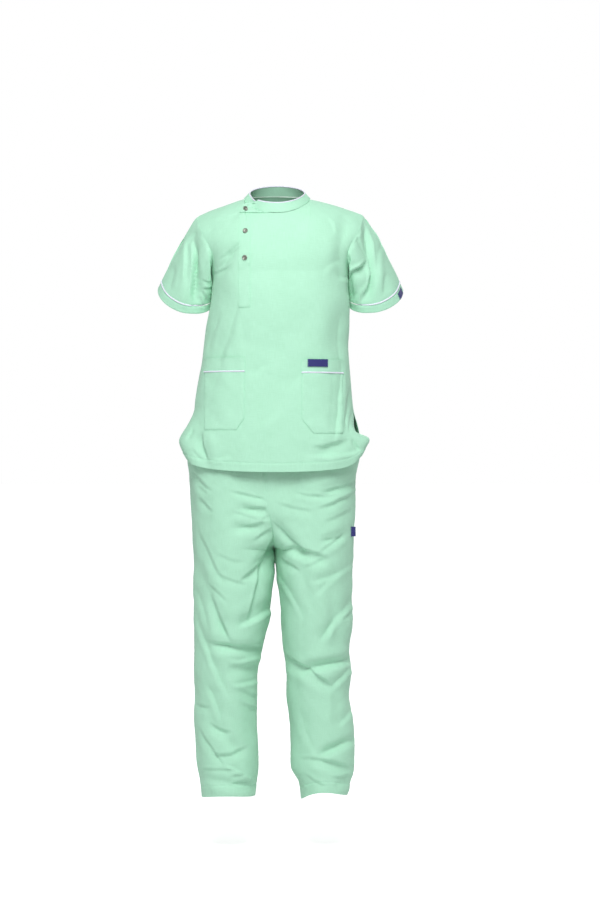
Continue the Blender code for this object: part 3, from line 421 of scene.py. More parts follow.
@functools.lru_cache(maxsize=None)
def sleeve_start(hand, w):
    """Where the sleeve leaves the armhole, the way it heads and how near the top of the shoulder it is."""
    edge, normal, out = armhole(hand, w)
    low = 0.5 - 0.5 * math.cos(2.0 * math.pi * w)
    bend = math.radians(ARMPIT_BEND) * smooth((low - 0.40) / 0.60)
    ahead = out * math.cos(bend) + normal * math.sin(bend)
    aside = math.sin(min(bend, math.pi / 2))
    start = edge + out * (2.0 * SEAM * max(math.cos(bend), 0.0)) + normal * ((CLOTH + 4.0 * SEAM) * aside)
    return start, ahead, 1.0 - low


def sleeve_point(hand, w, t):
    """Point of a sleeve: w runs round it from the top over the front, t runs down it."""
    start, ahead, top = sleeve_start(hand, w % 1.0)
    end = cuff_point(hand, w)
    lead = ahead * (CAP_REACH * (0.35 + 0.65 * top))
    land = SLEEVE_DOWN[hand] * CUFF_REACH
    land.x *= top
    return (start * (2 * t**3 - 3 * t**2 + 1) + lead * (t**3 - 2 * t**2 + t)
            + end * (3 * t**2 - 2 * t**3) + land * (t**3 - t**2))


# %% Trouser legs and waistband
def crotch_y(side, row, z):
    """Where the inner edge of a leg panel lies: on the centre seam above the crotch, on the inseam below it."""
    q = min(max((CROTCH_TOP - z) / (CROTCH_TOP - CROTCH_Z), 0.0), 1.0)
    depth = row.front if side == FRONT else row.back
    return INSEAM_Y + (depth - INSEAM_Y) * (1.0 - q**CROTCH_CURVE)**0.5


def turned_in(z):
    """How far down z lies where a leg panel turns in towards its own leg: 0 where that starts, 1 at its end."""
    return (CROTCH_TOP + 0.030 - z) / 0.025


def leg_point(hand, side, a, b):
    hem = LEG_HEM[hand]
    mid_z = hem.front if side == FRONT else hem.back
    ends = mix(hem.inner, hem.outer, smooth(a))
    low_z = mix(ends, mid_z, math.sin(math.pi * a)**2)
    z = mix(WAIST_Z, low_z, b)
    row = read_row(LEG[hand], z)
    deep = row.front if side == FRONT else row.back
    inner_y = crotch_y(side, row, z)
    inner_x = row.inner + hand * (SEAM / 2 + (CLOTH / 2 + SEAM) * smooth(turned_in(z)))
    apex_x = mix(inner_x, row.outer, row.apex)
    if a < 0.5:
        turn = a * math.pi
        x = inner_x + (apex_x - inner_x) * (1.0 - math.cos(turn))
        y = inner_y + (deep - inner_y) * math.sin(turn)
    else:
        turn = (a - 0.5) * math.pi
        x = apex_x + (row.outer - apex_x) * math.sin(turn)
        y = deep * math.cos(turn)
    return Vector((x, y + side * SEAM / 2, z))


def waistband_point(turn, share):
    """The band round the waist, above the leg panels: turn runs once round from the centre back."""
    z = mix(WAIST_Z + SEAM, WAISTBAND_TOP, share)
    angle = 2.0 * math.pi * turn
    hand = LEFT if math.sin(angle) > 0 else RIGHT
    side = BACK if math.cos(angle) > 0 else FRONT
    row = read_row(LEG[hand], z)
    depth = abs(row.front if side == FRONT else row.back)
    x = row.inner + hand * abs(row.outer - row.inner) * abs(math.sin(angle))**(2.0 / ROUND)
    return Vector((x, side * depth * abs(math.cos(angle))**(2.0 / ROUND), z))


# %% Collar
def neck_ring(angle, wide, front_y, back_y, front_z, side_z, back_z):
    turn = math.radians(angle)
    ahead = math.cos(turn)
    y = front_y * ahead if ahead > 0 else -back_y * ahead
    curve = NECK_CURVE[LEFT if math.sin(turn) > 0 else RIGHT]
    z = side_z + (front_z - side_z) * max(ahead, 0.0)**curve + (back_z - side_z) * max(-ahead, 0.0)
    return Vector((wide * math.sin(turn), y, z))


def collar_point(angle, share):
    """Collar from its base on the neckline to its top. It leans in, and its end slips in behind the tab."""
    rise = CLOTH / 2 + LAY
    base = neck_ring(angle, NECK_WIDE, NECK_FRONT_Y, NECK_BACK_Y, NECK_FRONT_Z + rise, rise + 0.001,
                     NECK_BACK_Z + rise)
    top = neck_ring(angle, COLLAR_TOP_WIDE, COLLAR_TOP_FRONT_Y, COLLAR_TOP_BACK_Y, COLLAR_TOP_FRONT_Z,
                    COLLAR_TOP_SIDE_Z, COLLAR_TOP_BACK_Z)
    point = mix(base, top, share)
    behind = smooth((angle - UNDERLAP_FROM) / 20.0)
    point = mix(point, Vector((0.0, 0.0, point.z)), UNDERLAP_IN * behind)
    point.z -= UNDERLAP_DOWN * behind
    return point


# %% [markdown]
# From surface to cloth
#
# Each panel becomes a grid of points with a normal at each. Displacement is then plain arithmetic: a crease, a
# hem or a seam is a height at every point, added along the normal. A Displace modifier could do the same from a
# texture, but a crease that is a line with a width and a depth in metres is easier to place and to correct.

# %% Grids and normals
Sheet = namedtuple("Sheet", "points normals loop")
DENSITY = 1.0


def even(count, start=0.0, end=1.0):
    return np.linspace(start, end, max(int(count * DENSITY), 2) + 1)


def lay_out(surface, across, down, inside=None, loop=False):
    """A grid on a surface. Inside is a point on the hollow side; a loop finds its own middle, row by row."""
    points = np.array([[tuple(surface(a, b)) for a in across] for b in down])
    return with_normals(points, points.mean(axis=1, keepdims=True) if loop else np.array(inside), loop)


def with_normals(points, inside, loop):
    if loop:
        round_it = np.concatenate([points[:, -1:], points, points[:, :1]], axis=1)
        by_a = round_it[:, 2:] - round_it[:, :-2]
    else:
        by_a = np.gradient(points, axis=1)
    normals = np.cross(by_a, np.gradient(points, axis=0))
    normals /= np.maximum(np.linalg.norm(normals, axis=2, keepdims=True), 1e-12)
    if (normals * (points - inside)).sum() < 0.0:
        normals = -normals
    return Sheet(points, normals, loop)


def raised(sheet, height):
    """The sheet moved out along its normals, which are then worked out again."""
    inside = sheet.points - sheet.normals
    return with_normals(sheet.points + sheet.normals * np.asarray(height)[..., None], inside, sheet.loop)


def run_lengths(points, axis):
    """How far each point lies along its row (axis 1) or its column (axis 0), in metres."""
    steps = np.linalg.norm(np.diff(points, axis=axis), axis=2)
    total = np.cumsum(steps, axis=axis)
    return np.insert(total, 0, 0.0, axis=axis)


def from_edge(sheet, edge):
    """How far each point is from one edge of its sheet, in metres."""
    lengths = run_lengths(sheet.points, 1 if edge in ("left", "right") else 0)
    if edge == "right":
        return lengths[:, -1:] - lengths
    if edge == "low":
        return lengths[-1:] - lengths
    return lengths


# %% [markdown]
# Creases
#
# Cloth under tension folds into troughs with a ridge beside them. A narrow crease has a steep upper side and a
# gentle lower one, and where a broad fold hangs over, it is the other way round. Each crease is listed with its
# ends from left to right, so its steep side is known.

# %% Creases and ripples
def ease(t):
    t = np.clip(t, 0.0, 1.0)
    return t * t * (3.0 - 2.0 * t)


WAVES = 9


def ripple(points, size, seed):
    """Soft random waves of about one size, between -1 and 1."""
    draw = np.random.default_rng(seed)
    total = np.zeros(points.shape[:-1])
    for _ in range(WAVES):
        way = draw.normal(size=3)
        way *= draw.uniform(0.7, 1.4) / np.linalg.norm(way)
        total += np.sin(points @ way * (2.0 * math.pi / size) + draw.uniform(0.0, 2.0 * math.pi))
    return total / (WAVES / 2.0)


BROAD = 0.0068          # creases from this width on hang over
RIDGE, RIDGE_AT = 0.35, 1.9     # height of the ridge beside a trough, and its place, as shares of the trough
FAR = 5.0               # a crease ends this many widths from its line


def pressed(creases, points, steep=1.0, gentle=1.0, power=2.0, wobble=0.0, deep=1.0):
    """How far creases press the cloth in. A narrow one is steep above its line, a broad one below it."""
    x, z = points[..., 0], points[..., 2]
    stray = wobble * ripple(points, 0.05, 7) if wobble else 0.0
    depth = np.zeros_like(x)
    for crease in creases:
        dx, dz = crease.x1 - crease.x0, crease.z1 - crease.z0
        length = math.hypot(dx, dz)
        along = ((x - crease.x0) * dx + (z - crease.z0) * dz) / length**2
        off = ((x - crease.x0) * dz - (z - crease.z0) * dx) / length + stray
        off = off - crease.bow * 4.0 * along * (1.0 - along)
        upper, lower = (steep, gentle) if crease.width < BROAD else (gentle, steep)
        far = np.where(off < 0.0, -off / upper, off / lower) / crease.width
        ends = ease((along + 0.25) / 0.5) * ease((1.25 - along) / 0.5)
        lower_ridge = np.where(off < 0.0, 1.0 / max(upper, 1.0), 1.0 / max(lower, 1.0))
        ridge = RIDGE * lower_ridge * np.exp(-(far - RIDGE_AT)**2)
        depth += np.where(far < FAR, deep * crease.depth * ends * (np.exp(-far**power) - ridge), 0.0)
    return depth


def side_calm(sheet, reach):
    """1 over most of a panel, falling to 0 over its side edges, so that neighbours still meet."""
    return ease(from_edge(sheet, "left") / reach) * ease(from_edge(sheet, "right") / reach)


SEAM_WIDE = 0.0030      # a sewn edge rolls in over this width
PUCKER, HEM_PUCKER = 0.0003, 0.00028    # height of the puckers along a seam and along a hem
GROOVE = 0.0005         # depth of the groove that a row of stitches draws


def seam_roll(sheet, edges, depth=0.0007):
    """A sewn edge rolls in towards its seam, with small puckers along it."""
    total = np.zeros(sheet.points.shape[:-1])
    for edge in edges:
        away = from_edge(sheet, edge)
        total += depth * np.exp(-(away / SEAM_WIDE)**2)
        total += PUCKER * np.exp(-(away / 0.009)**2) * ripple(sheet.points, 0.011, 21)
    return total


def turned_hem(sheet, edge, wide, rise=0.0005):
    """A hem is cloth turned up inside, so it stands a little proud as far as its row of stitches."""
    away = from_edge(sheet, edge)
    groove = GROOVE * np.exp(-((away - wide) / 0.0022)**2)
    pucker = HEM_PUCKER * np.exp(-((away - wide) / 0.008)**2) * ripple(sheet.points, 0.012, 33)
    return rise * ease((wide - away) / 0.002) - groove + pucker


# %% Smaller creases of the tunic
CREASES = in_metres({
    ("tunic", FRONT): [
        (-120, -136, -83, -104, 4.5, 2.2, 2), (-124, -153, -83, -116, 4, 2, -3),
        (-138, -169, -103, -153, 4.5, 2.4, 2), (-132, -48, -87, -38, 5, 2, 2),
        (-152, -78, -120, -60, 7, 1.2), (112, -53, 124, -79, 6, 1.6),
        (102, -165, 134, -141, 10, 2, -3), (138, -177, 158, -174, 8, 2.4),
        (-128, -361, -85, -234, 12, 3.4, 4), (-153, -335, -130, -262, 9, 2.6, -3),
        (-148, -440, -118, -345, 13, 2, 4), (127, -526, 141, -380, 7, 4.4, 3),
        (152, -506, 160, -430, 5, 3.4), (160, -514, 168, -470, 4, 2.4),
        (141, -366, 142, -270, 13, 3, -3), (118, -503, 121, -390, 12, 2, 2),
        (85, -554, 149, -542, 6, 3.4, 3), (79, -568, 186, -556, 8, 3, 4),
        (168, -537, 183, -556, 3.5, 3.6), (-198, -533, -186, -514, 3.5, 3),
        (-167, -526, -156, -576, 5, 4.2, 2), (-186, -560, -168, -582, 6, 2),
        (-144, -574, -105, -570, 8, 2, 3), (-100, -607, -94, -540, 16, 1.8, 3),
        (-28, -607, -34, -535, 18, 1.4, -3), (52, -607, 60, -548, 15, 1.6, 2),
        (-78, -256, -70, -335, 12, 1.2), (-55, -397, -21, -372, 10, 1.4, -2),
        (22, -428, 53, -394, 9, 1.2, 2), (-40, -500, 12, -452, 14, 1.4, 4),
        (20, -230, 52, -330, 20, 1.2, 6),
    ],
    ("tunic", BACK): [
        (-136, -172, -84, -108, 6, 3, 4), (-142, -200, -102, -168, 5.5, 2.8, -3),
        (-122, -126, -78, -82, 5, 2.2, 2), (90, -112, 140, -176, 6, 3, -4),
        (108, -160, 148, -205, 5.5, 2.8, 3), (70, -88, 124, -132, 5, 2, 3),
        (-58, -60, -46, -150, 15, 1.6, 4), (50, -160, 56, -66, 15, 1.6, -4),
        (-140, -300, -30, -322, 8, 3.4, 6), (-152, -345, -60, -352, 6, 2.6, -4),
        (-128, -385, -10, -402, 8, 3.4, -5), (40, -300, 142, -290, 8, 3.2, 6),
        (62, -338, 150, -330, 6, 2.4, 4), (10, -388, 132, -372, 8, 3.6, 6),
        (-150, -250, -128, -420, 11, 2.6, 4), (136, -430, 150, -240, 11, 2.6, -4),
    ],
    ("sleeve", RIGHT): [
        (-188, -226, -185, -125, 4.6, 8.2), (-186, -150, -188, -95, 4, 3.6),
        (-203, -180, -201, -102, 3.6, 3.4), (-241, -198, -232, -150, 9, 2.6, 2),
        (-171, -184, -157, -187, 3, 2.4), (-171, -202, -151, -196, 3, 2.6),
        (-175, -207, -163, -229, 3.2, 2.6), (-178, -222, -171, -240, 3, 2),
        (-199, -98, -183, -74, 5, 2.2), (-222, -120, -208, -86, 7, 1.8),
    ],
    ("sleeve", LEFT): [
        (199, -66, 212, -150, 4.8, 6.6, -2), (198, -224, 213, -146, 4.8, 7.4, 3),
        (155, -44, 198, -122, 5, 3.4, 2), (163, -180, 198, -146, 6.4, 8.8),
        (168, -182, 176, -222, 9, 6), (239, -208, 241, -168, 6, 2.6),
        (152, -106, 168, -165, 4.5, 3, 2), (166, -28, 203, -41, 5, 1.8),
        (222, -160, 230, -100, 8, 1.8, -2),
    ],
    ("leg", RIGHT, FRONT): [
        (-95, -652, -28, -667, 4, 3, 1), (-64, -687, -16, -689, 4.5, 3.4, 1),
        (-90, -698, -42, -711, 4, 2.4), (-78, -729, -28, -721, 4.5, 3, 1),
        (-31, -712, -14, -704, 3, 2.2), (-47, -755, -6, -732, 4.5, 3.2, -1),
        (-24, -778, -5, -754, 3.5, 2.6), (-36, -807, -6, -767, 5, 3.6, -1),
        (-74, -843, -28, -810, 5, 3.8, -1), (-78, -944, -18, -912, 7, 4.6, 2),
        (-56, -925, -12, -770, 6.6, 6.2, -4), (-172, -748, -124, -840, 6, 2.8, 2),
        (-128, -836, -67, -856, 5.5, 2.4, 2), (-147, -884, -107, -974, 6, 3.6, 2),
        (-148, -860, -114, -890, 5, 2.4), (-177, -873, -151, -953, 8, 3.2, -2),
        (-188, -606, -149, -647, 6, 3.2, 2), (-172, -641, -155, -655, 4, 2),
        (-169, -669, -144, -694, 5, 2.6), (-93, -601, -92, -631, 3, 1),
        (-129, -791, -79, -807, 6, 1.6, 2), (-140, -986, -40, -996, 5.5, 4.6, 2),
        (-127, -940, -107, -974, 4, 2.6), (-172, -945, -110, -1094, 7, 3.8, 4),
        (-102, -1021, -46, -1014, 8, 4.4, 3), (-95, -1073, -46, -1070, 7, 3.8, 2),
        (-84, -1091, -47, -1110, 6, 2.6), (-79, -1118, -47, -1144, 6, 2.4),
        (-149, -1086, -122, -1160, 8, 3.6, -3), (-176, -1127, -151, -1130, 5, 2.6),
        (-145, -1168, -106, -1185, 6, 3.6, 3), (-168, -1187, -122, -1253, 5, 3.2),
        (-135, -1235, -74, -1223, 6, 4.4, 4), (-159, -1269, -95, -1268, 4.5, 3, -1),
        (-120, -1256, -50, -1294, 5, -2.2, -2), (-98, -1280, -74, -1277, 4, 2.8),
        (-95, -1296, -54, -1290, 4, 3),
    ],
    ("leg", LEFT, FRONT): [
        (107, -652, 170, -632, 6, 4.6, 3), (80, -658, 128, -661, 4, 2.4, 1),
        (98, -687, 168, -655, 5, 3.6, 2), (112, -716, 162, -694, 6, 2.2, 2),
        (46, -654, 107, -665, 4, 2, 1), (6, -679, 72, -695, 6.5, 2.4, 2),
        (-2, -726, 60, -779, 4.2, 3, 3), (30, -776, 104, -795, 5.5, 4, -3),
        (99, -782, 146, -747, 4, 3.2, 1), (104, -759, 142, -751, 4, 2),
        (63, -817, 104, -800, 6, 3, 1), (11, -801, 46, -825, 4.2, 2.6),
        (9, -844, 54, -921, 7, 2.4, -3), (80, -847, 136, -828, 8, 2.6, 2),
        (88, -873, 162, -812, 8, 2.4, -3), (102, -974, 162, -896, 10, 4.4, -3),
        (146, -934, 164, -917, 4, 2.8), (96, -976, 122, -944, 8, 3.2),
        (62, -1044, 160, -1026, 10, 6.2, -3), (22, -1019, 118, -1077, 4.2, 3.6, -2),
        (122, -1082, 162, -1044, 8, 4.8), (116, -1170, 118, -1084, 14, -2.8),
        (138, -1166, 164, -1140, 7, 3.6), (94, -1232, 168, -1204, 10, 5.6, -2),
        (64, -1243, 157, -1262, 6, 3.8, -5), (126, -1284, 161, -1285, 5, 3.6),
        (54, -1144, 80, -1219, 12, 2.2, 3), (66, -1282, 110, -1300, 6, 2, 3),
        (51, -600, 52, -650, 6, 1.2),
    ],
    ("leg", RIGHT, BACK): [
        (-150, -700, -60, -745, 7, 3.4, 6), (-120, -800, -30, -770, 6, 3.4, -4),
        (-100, -836, -20, -800, 5, 2.8, -3), (-160, -860, -80, -890, 6, 2.4, 4),
        (-160, -900, -90, -960, 8, 3.4, 5), (-152, -975, -70, -990, 5.5, 4, -4),
        (-120, -1020, -50, -1008, 5, 3.4, 3), (-146, -1045, -70, -1040, 5.5, 4.2, 4),
        (-160, -1082, -100, -1092, 5.5, 2.8, 2), (-140, -1110, -80, -1130, 7, 3, -4),
        (-150, -1190, -85, -1205, 7, 3.4, 4), (-126, -1228, -66, -1240, 5.5, 3, 3),
        (-130, -1270, -76, -1282, 5.5, 3),
    ],
    ("leg", LEFT, BACK): [
        (50, -752, 140, -706, 7, 3.4, 6), (24, -776, 112, -806, 6, 3.4, -4),
        (14, -806, 92, -842, 5, 2.8, -3), (76, -896, 150, -868, 6, 2.4, 4),
        (80, -965, 150, -910, 8, 3.4, 5), (60, -996, 144, -980, 5.5, 4, -4),
        (44, -1014, 112, -1026, 5, 3.4, 3), (60, -1046, 140, -1050, 5.5, 4.2, 4),
        (94, -1096, 152, -1086, 5.5, 2.8, 2), (70, -1136, 136, -1118, 7, 3, -4),
        (80, -1200, 150, -1180, 7, 3.4, 4), (62, -1246, 124, -1234, 5.5, 3, 3),
        (74, -1280, 136, -1272, 5.5, 3),
    ],
})
print("creases:", sum(len(rows) for rows in CREASES.values()), "placed by hand on", len(CREASES), "pieces")


CRISP = {"steep": 0.65, "gentle": 1.6, "power": 1.2, "wobble": 0.0014, "deep": 1.15}
BACK_SHARE = 0.7        # the back hangs straighter, so its creases are this share as deep


def crumpled(points, size, seed):
    """Soft facets with creases between them, between 0 and 1: cloth that was folded in its packet."""
    return np.sqrt(ripple(points, size, seed)**2 + 0.01)


def draped(sheet, key, calm, slack):
    """A sheet with the solids' folds, the smaller creases and the unevenness of slack cloth."""
    large = pressed(FOLDS[key], sheet.points)
    small = pressed(CREASES[key], sheet.points, **CRISP) * (BACK_SHARE if key[-1] == BACK else 1.0)
    loose = ripple(sheet.points, 0.060, 3) + 0.3 * ripple(sheet.points, 0.022, 5)
    loose += crumpled(sheet.points, 0.11, 9)
    return raised(sheet, (slack * loose - large - small) * calm)


# %% [markdown]
# Meshes
#
# A sheet becomes a closed wall: an outer face, an inner face and a rim between them. Its UV map is in metres
# along the cut piece, so a weave that is drawn on it follows the threads of that piece, as woven cloth does.

# %% Walls, tubes and their UV maps
SHELL = 0.0009          # wall of one layer of cloth with its crimp


def finish_object(name, mesh, look, nodes):
    mesh.materials.append(look)
    piece = bpy.data.objects.new(name, mesh)
    bpy.context.scene.collection.objects.link(piece)
    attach(piece, "root")
    if nodes:
        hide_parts(*nodes)
    return piece


def cells(number):
    """The four-cornered faces of a grid of point numbers."""
    return np.stack([number[:-1, :-1], number[:-1, 1:], number[1:, 1:], number[1:, :-1]], axis=-1).reshape(-1, 4)


def solid_mesh(name, verts, faces):
    """A closed mesh with its faces turned outwards."""
    mesh = bpy.data.meshes.new(name)
    mesh.from_pydata(verts.tolist(), [], faces.tolist())
    shape = bmesh.new()
    shape.from_mesh(mesh)
    bmesh.ops.recalc_face_normals(shape, faces=shape.faces[:])
    shape.to_mesh(mesh)
    shape.free()
    mesh.shade_smooth()
    return mesh


def closed_mesh(name, verts, faces, uvs, wide=0, turn_length=0.0):
    """A solid mesh with a UV map. Wide and turn_length put the UV of a loop's last cells right."""
    mesh = solid_mesh(name, verts, faces)
    index = np.zeros(len(mesh.loops), dtype=np.int32)
    mesh.loops.foreach_get("vertex_index", index)
    places = uvs[index]
    if wide:
        corners = (index % wide).reshape(-1, 4)
        across_seam = (corners.max(axis=1) == wide - 1) & (corners.min(axis=1) == 0)
        places[(across_seam[:, None] & (corners == 0)).ravel(), 0] += turn_length
    layer = mesh.uv_layers.new(name="Threads")
    layer.data.foreach_set("uv", places.astype(np.float32).ravel())
    mesh.set_sharp_from_angle(angle=math.radians(60.0))
    return mesh


def laid_flat(sheet):
    """Greatest width and length of a sheet, and its area, measured over its folds."""
    points = np.concatenate([sheet.points, sheet.points[:, :1]], axis=1) if sheet.loop else sheet.points
    across = run_lengths(points, 1)[:, -1].max()
    down = run_lengths(points, 0)[-1].max()
    areas = np.cross(points[1:, 1:] - points[:-1, :-1], points[1:, :-1] - points[:-1, 1:])
    return across, down, np.linalg.norm(areas, axis=2).sum() / 2.0


def cloth_wall(name, sheet, look, nodes, thick=SHELL):
    """A closed wall from a sheet, whose points are the wall's outer face."""
    print(name, "measures {:.3f} x {:.3f} m, {:.4f} m2".format(*laid_flat(sheet)))
    high, wide = sheet.points.shape[:2]
    inner = sheet.points - sheet.normals * thick
    verts = np.concatenate([sheet.points.reshape(-1, 3), inner.reshape(-1, 3)])
    u, v = run_lengths(sheet.points, 1), run_lengths(sheet.points, 0)
    u, v = u - u[:, wide // 2:wide // 2 + 1], v - v[-1:]
    uvs = np.tile(np.stack([u, v], axis=-1).reshape(-1, 2), (2, 1))
    number = np.arange(high * wide).reshape(high, wide)
    if sheet.loop:
        number = np.concatenate([number, number[:, :1]], axis=1)
    outside = cells(number)
    inside = outside[:, ::-1] + high * wide
    rim = [rim_faces(number[0], high * wide), rim_faces(number[-1][::-1], high * wide)]
    if not sheet.loop:
        rim += [rim_faces(number[::-1, 0], high * wide), rim_faces(number[:, -1], high * wide)]
    faces = np.concatenate([outside, inside] + rim)
    turn = float(np.linalg.norm(sheet.points[0, 0] - sheet.points[0, -1]) + u[0, -1] - u[0, 0])
    mesh = closed_mesh(name, verts, faces, uvs, wide if sheet.loop else 0, turn)
    return finish_object(name, mesh, look, nodes)


def rim_faces(edge, step):
    return np.stack([edge[:-1], edge[:-1] + step, edge[1:] + step, edge[1:]], axis=-1)


def piping_tube(name, line, normals, radius, look, nodes, loop=False, sides=12):
    """A round cord in its cloth cover along a line: rings of points, closed at the ends unless it is a loop."""
    if loop:
        along = np.roll(line, -1, axis=0) - np.roll(line, 1, axis=0)
    else:
        along = np.gradient(line, axis=0)
    along /= np.linalg.norm(along, axis=1, keepdims=True)
    side = np.cross(along, normals)
    side /= np.linalg.norm(side, axis=1, keepdims=True)
    up = np.cross(side, along)
    turns = np.linspace(0.0, 2.0 * math.pi, sides, endpoint=False)
    rings = [line + radius * (math.cos(t) * side + math.sin(t) * up) for t in turns]
    points = np.stack(rings, axis=1)
    count = len(line)
    number = np.arange(count * sides).reshape(count, sides)
    number = np.concatenate([number, number[:, :1]], axis=1)
    if loop:
        number = np.concatenate([number, number[:1]], axis=0)
    faces = cells(number)
    verts = points.reshape(-1, 3)
    far = run_lengths(line[None], 1)[0]
    uvs = np.stack([np.repeat(far, sides), np.tile(turns * radius, count)], axis=-1)
    if not loop:
        caps = []
        for ring in (number[0, :-1], number[-1, :-1]):
            half = sides // 2
            caps += [(ring[i], ring[i + 1], ring[sides - 2 - i], ring[sides - 1 - i]) for i in range(half - 1)]
        faces = np.concatenate([faces, np.array(caps)])
    return finish_object(name, closed_mesh(name, verts, faces, uvs), look, nodes)


def tree_of(sheet):
    """The outer face of a sheet as a search tree, to lay other pieces on."""
    high, wide = sheet.points.shape[:2]
    number = np.arange(high * wide).reshape(high, wide)
    corners = [Vector(p) for p in sheet.points.reshape(-1, 3)]
    return BVHTree.FromPolygons(corners, cells(number).tolist())


# %% [markdown]
# Stitches
#
# Lockstitch shows as short dashes of thread that dip into the cloth at both ends. Each dash is a small spindle
# of eight faces, and all the dashes of one garment are one mesh. A dashed texture would be lighter, but it has
# no relief, and it smears where a row turns a corner.

# %% Rows of stitches
STITCH_PITCH, STITCH_LENGTH, STITCH_THICK = 0.0030, 0.0021, 0.00032
rows_of_stitches = {"tunic": [], "trousers": []}


def sew(garment, line, normals, loop=False):
    """Sets stitches at equal steps along a line of points."""
    if loop:
        line = np.concatenate([line, line[:1]])
        normals = np.concatenate([normals, normals[:1]])
    far = run_lengths(line[None], 1)[0]
    middles = np.arange(STITCH_PITCH / 2, far[-1], STITCH_PITCH)
    spots = {}
    for word, step in (("back", -0.5), ("mid", 0.0), ("ahead", 0.5)):
        places = middles + step * STITCH_LENGTH
        spots[word] = np.stack([np.interp(places, far, line[:, k]) for k in range(3)], axis=1)
    normal = np.stack([np.interp(middles, far, normals[:, k]) for k in range(3)], axis=1)
    normal /= np.linalg.norm(normal, axis=1, keepdims=True)
    side = np.cross(normal, spots["ahead"] - spots["back"])
    side *= STITCH_THICK / np.maximum(np.linalg.norm(side, axis=1, keepdims=True), 1e-12)
    lift = normal * STITCH_THICK
    middle = spots["mid"] + lift * 0.4
    rows_of_stitches[garment].append(np.stack(
        [spots["back"] - lift * 0.3, middle + side, middle + lift, middle - side, middle - lift,
         spots["ahead"] - lift * 0.3], axis=1))


def beside(sheet, edge, distance, start=0.0, end=1.0):
    """The line on a sheet at a distance from one of its edges, between two shares of that edge."""
    away, points, normals = from_edge(sheet, edge), sheet.points, sheet.normals
    if edge in ("top", "low"):
        away, points, normals = away.T, points.swapaxes(0, 1), normals.swapaxes(0, 1)
    if edge in ("right", "low"):
        away, points, normals = away[:, ::-1], points[:, ::-1], normals[:, ::-1]
    count = len(points)
    rows = range(round(start * (count - 1)), round(end * (count - 1)) + 1)
    line = np.array([[np.interp(distance, away[j], points[j, :, k]) for k in range(3)] for j in rows])
    out = np.array([[np.interp(distance, away[j], normals[j, :, k]) for k in range(3)] for j in rows])
    return line, out


def thread_mesh(garment, look):
    """Joins the stitches of a garment into one mesh."""
    corners = np.concatenate(rows_of_stitches[garment])
    count = len(corners)
    base = np.array([(0, 1, 2), (0, 2, 3), (0, 3, 4), (0, 4, 1), (5, 2, 1), (5, 3, 2), (5, 4, 3), (5, 1, 4)])
    faces = (base[None] + 6 * np.arange(count)[:, None, None]).reshape(-1, 3)
    mesh = solid_mesh(garment + "_stitches", corners.reshape(-1, 3), faces)
    finish_object(mesh.name, mesh, look, [])
    print(garment, "stitches:", count)


# %% [markdown]
# Finishes
#
# Colours are given as sRGB hex, as a dye card would give them, and one function turns them to the linear values
# that the shader needs. One small function adds a node with its settings and links.

# %% Colours and nodes
def linear(code):
    """A linear colour from an sRGB hex code."""
    parts = [int(code[i:i + 2], 16) / 255.0 for i in (1, 3, 5)]
    return tuple(c / 12.92 if c <= 0.04045 else ((c + 0.055) / 1.055)**2.4 for c in parts) + (1.0,)


def add(tree, kind, inputs=None, **settings):
    """Adds a node. An input is linked if its value is a socket, and set otherwise."""
    node = tree.nodes.new("ShaderNode" + kind)
    for name, value in settings.items():
        setattr(node, name, value)
    for name, value in (inputs or {}).items():
        if isinstance(value, bpy.types.NodeSocket):
            tree.links.new(value, node.inputs[name])
        else:
            node.inputs[name].default_value = value
    return node


def new_look(name, **sockets):
    """A material with its shader's plain values set, its node tree and its shader."""
    look = bpy.data.materials.new(name)
    look.use_nodes = True
    shader = look.node_tree.nodes["Principled BSDF"]
    for socket, value in sockets.items():
        shader.inputs[socket.replace("_", " ")].default_value = value
    return look, look.node_tree, shader


WAVE_AT_ONE = 2.0 * math.pi / 20.0      # period of a Wave texture in bands at scale 1


def wave_scale(period):
    """Scale of a Wave texture for bands a given number of metres apart."""
    return WAVE_AT_ONE / period


# %% [markdown]
# Poly-cotton poplin
#
# Scrubs are cut from poplin of polyester and cotton: a plain weave, matt, with a faint sheen from the polyester
# and thicker threads here and there from the cotton. The threads are 0.25 mm apart, too fine to show at this
# distance, so the weave is drawn at 0.9 mm. A Noise texture stretched along each thread gives the slubs.

# %% Poly-cotton poplin
THREAD_SPACING = 0.0009
THREAD, SLUB = 900.0, 45.0      # noise cells to the metre across a thread, and along it


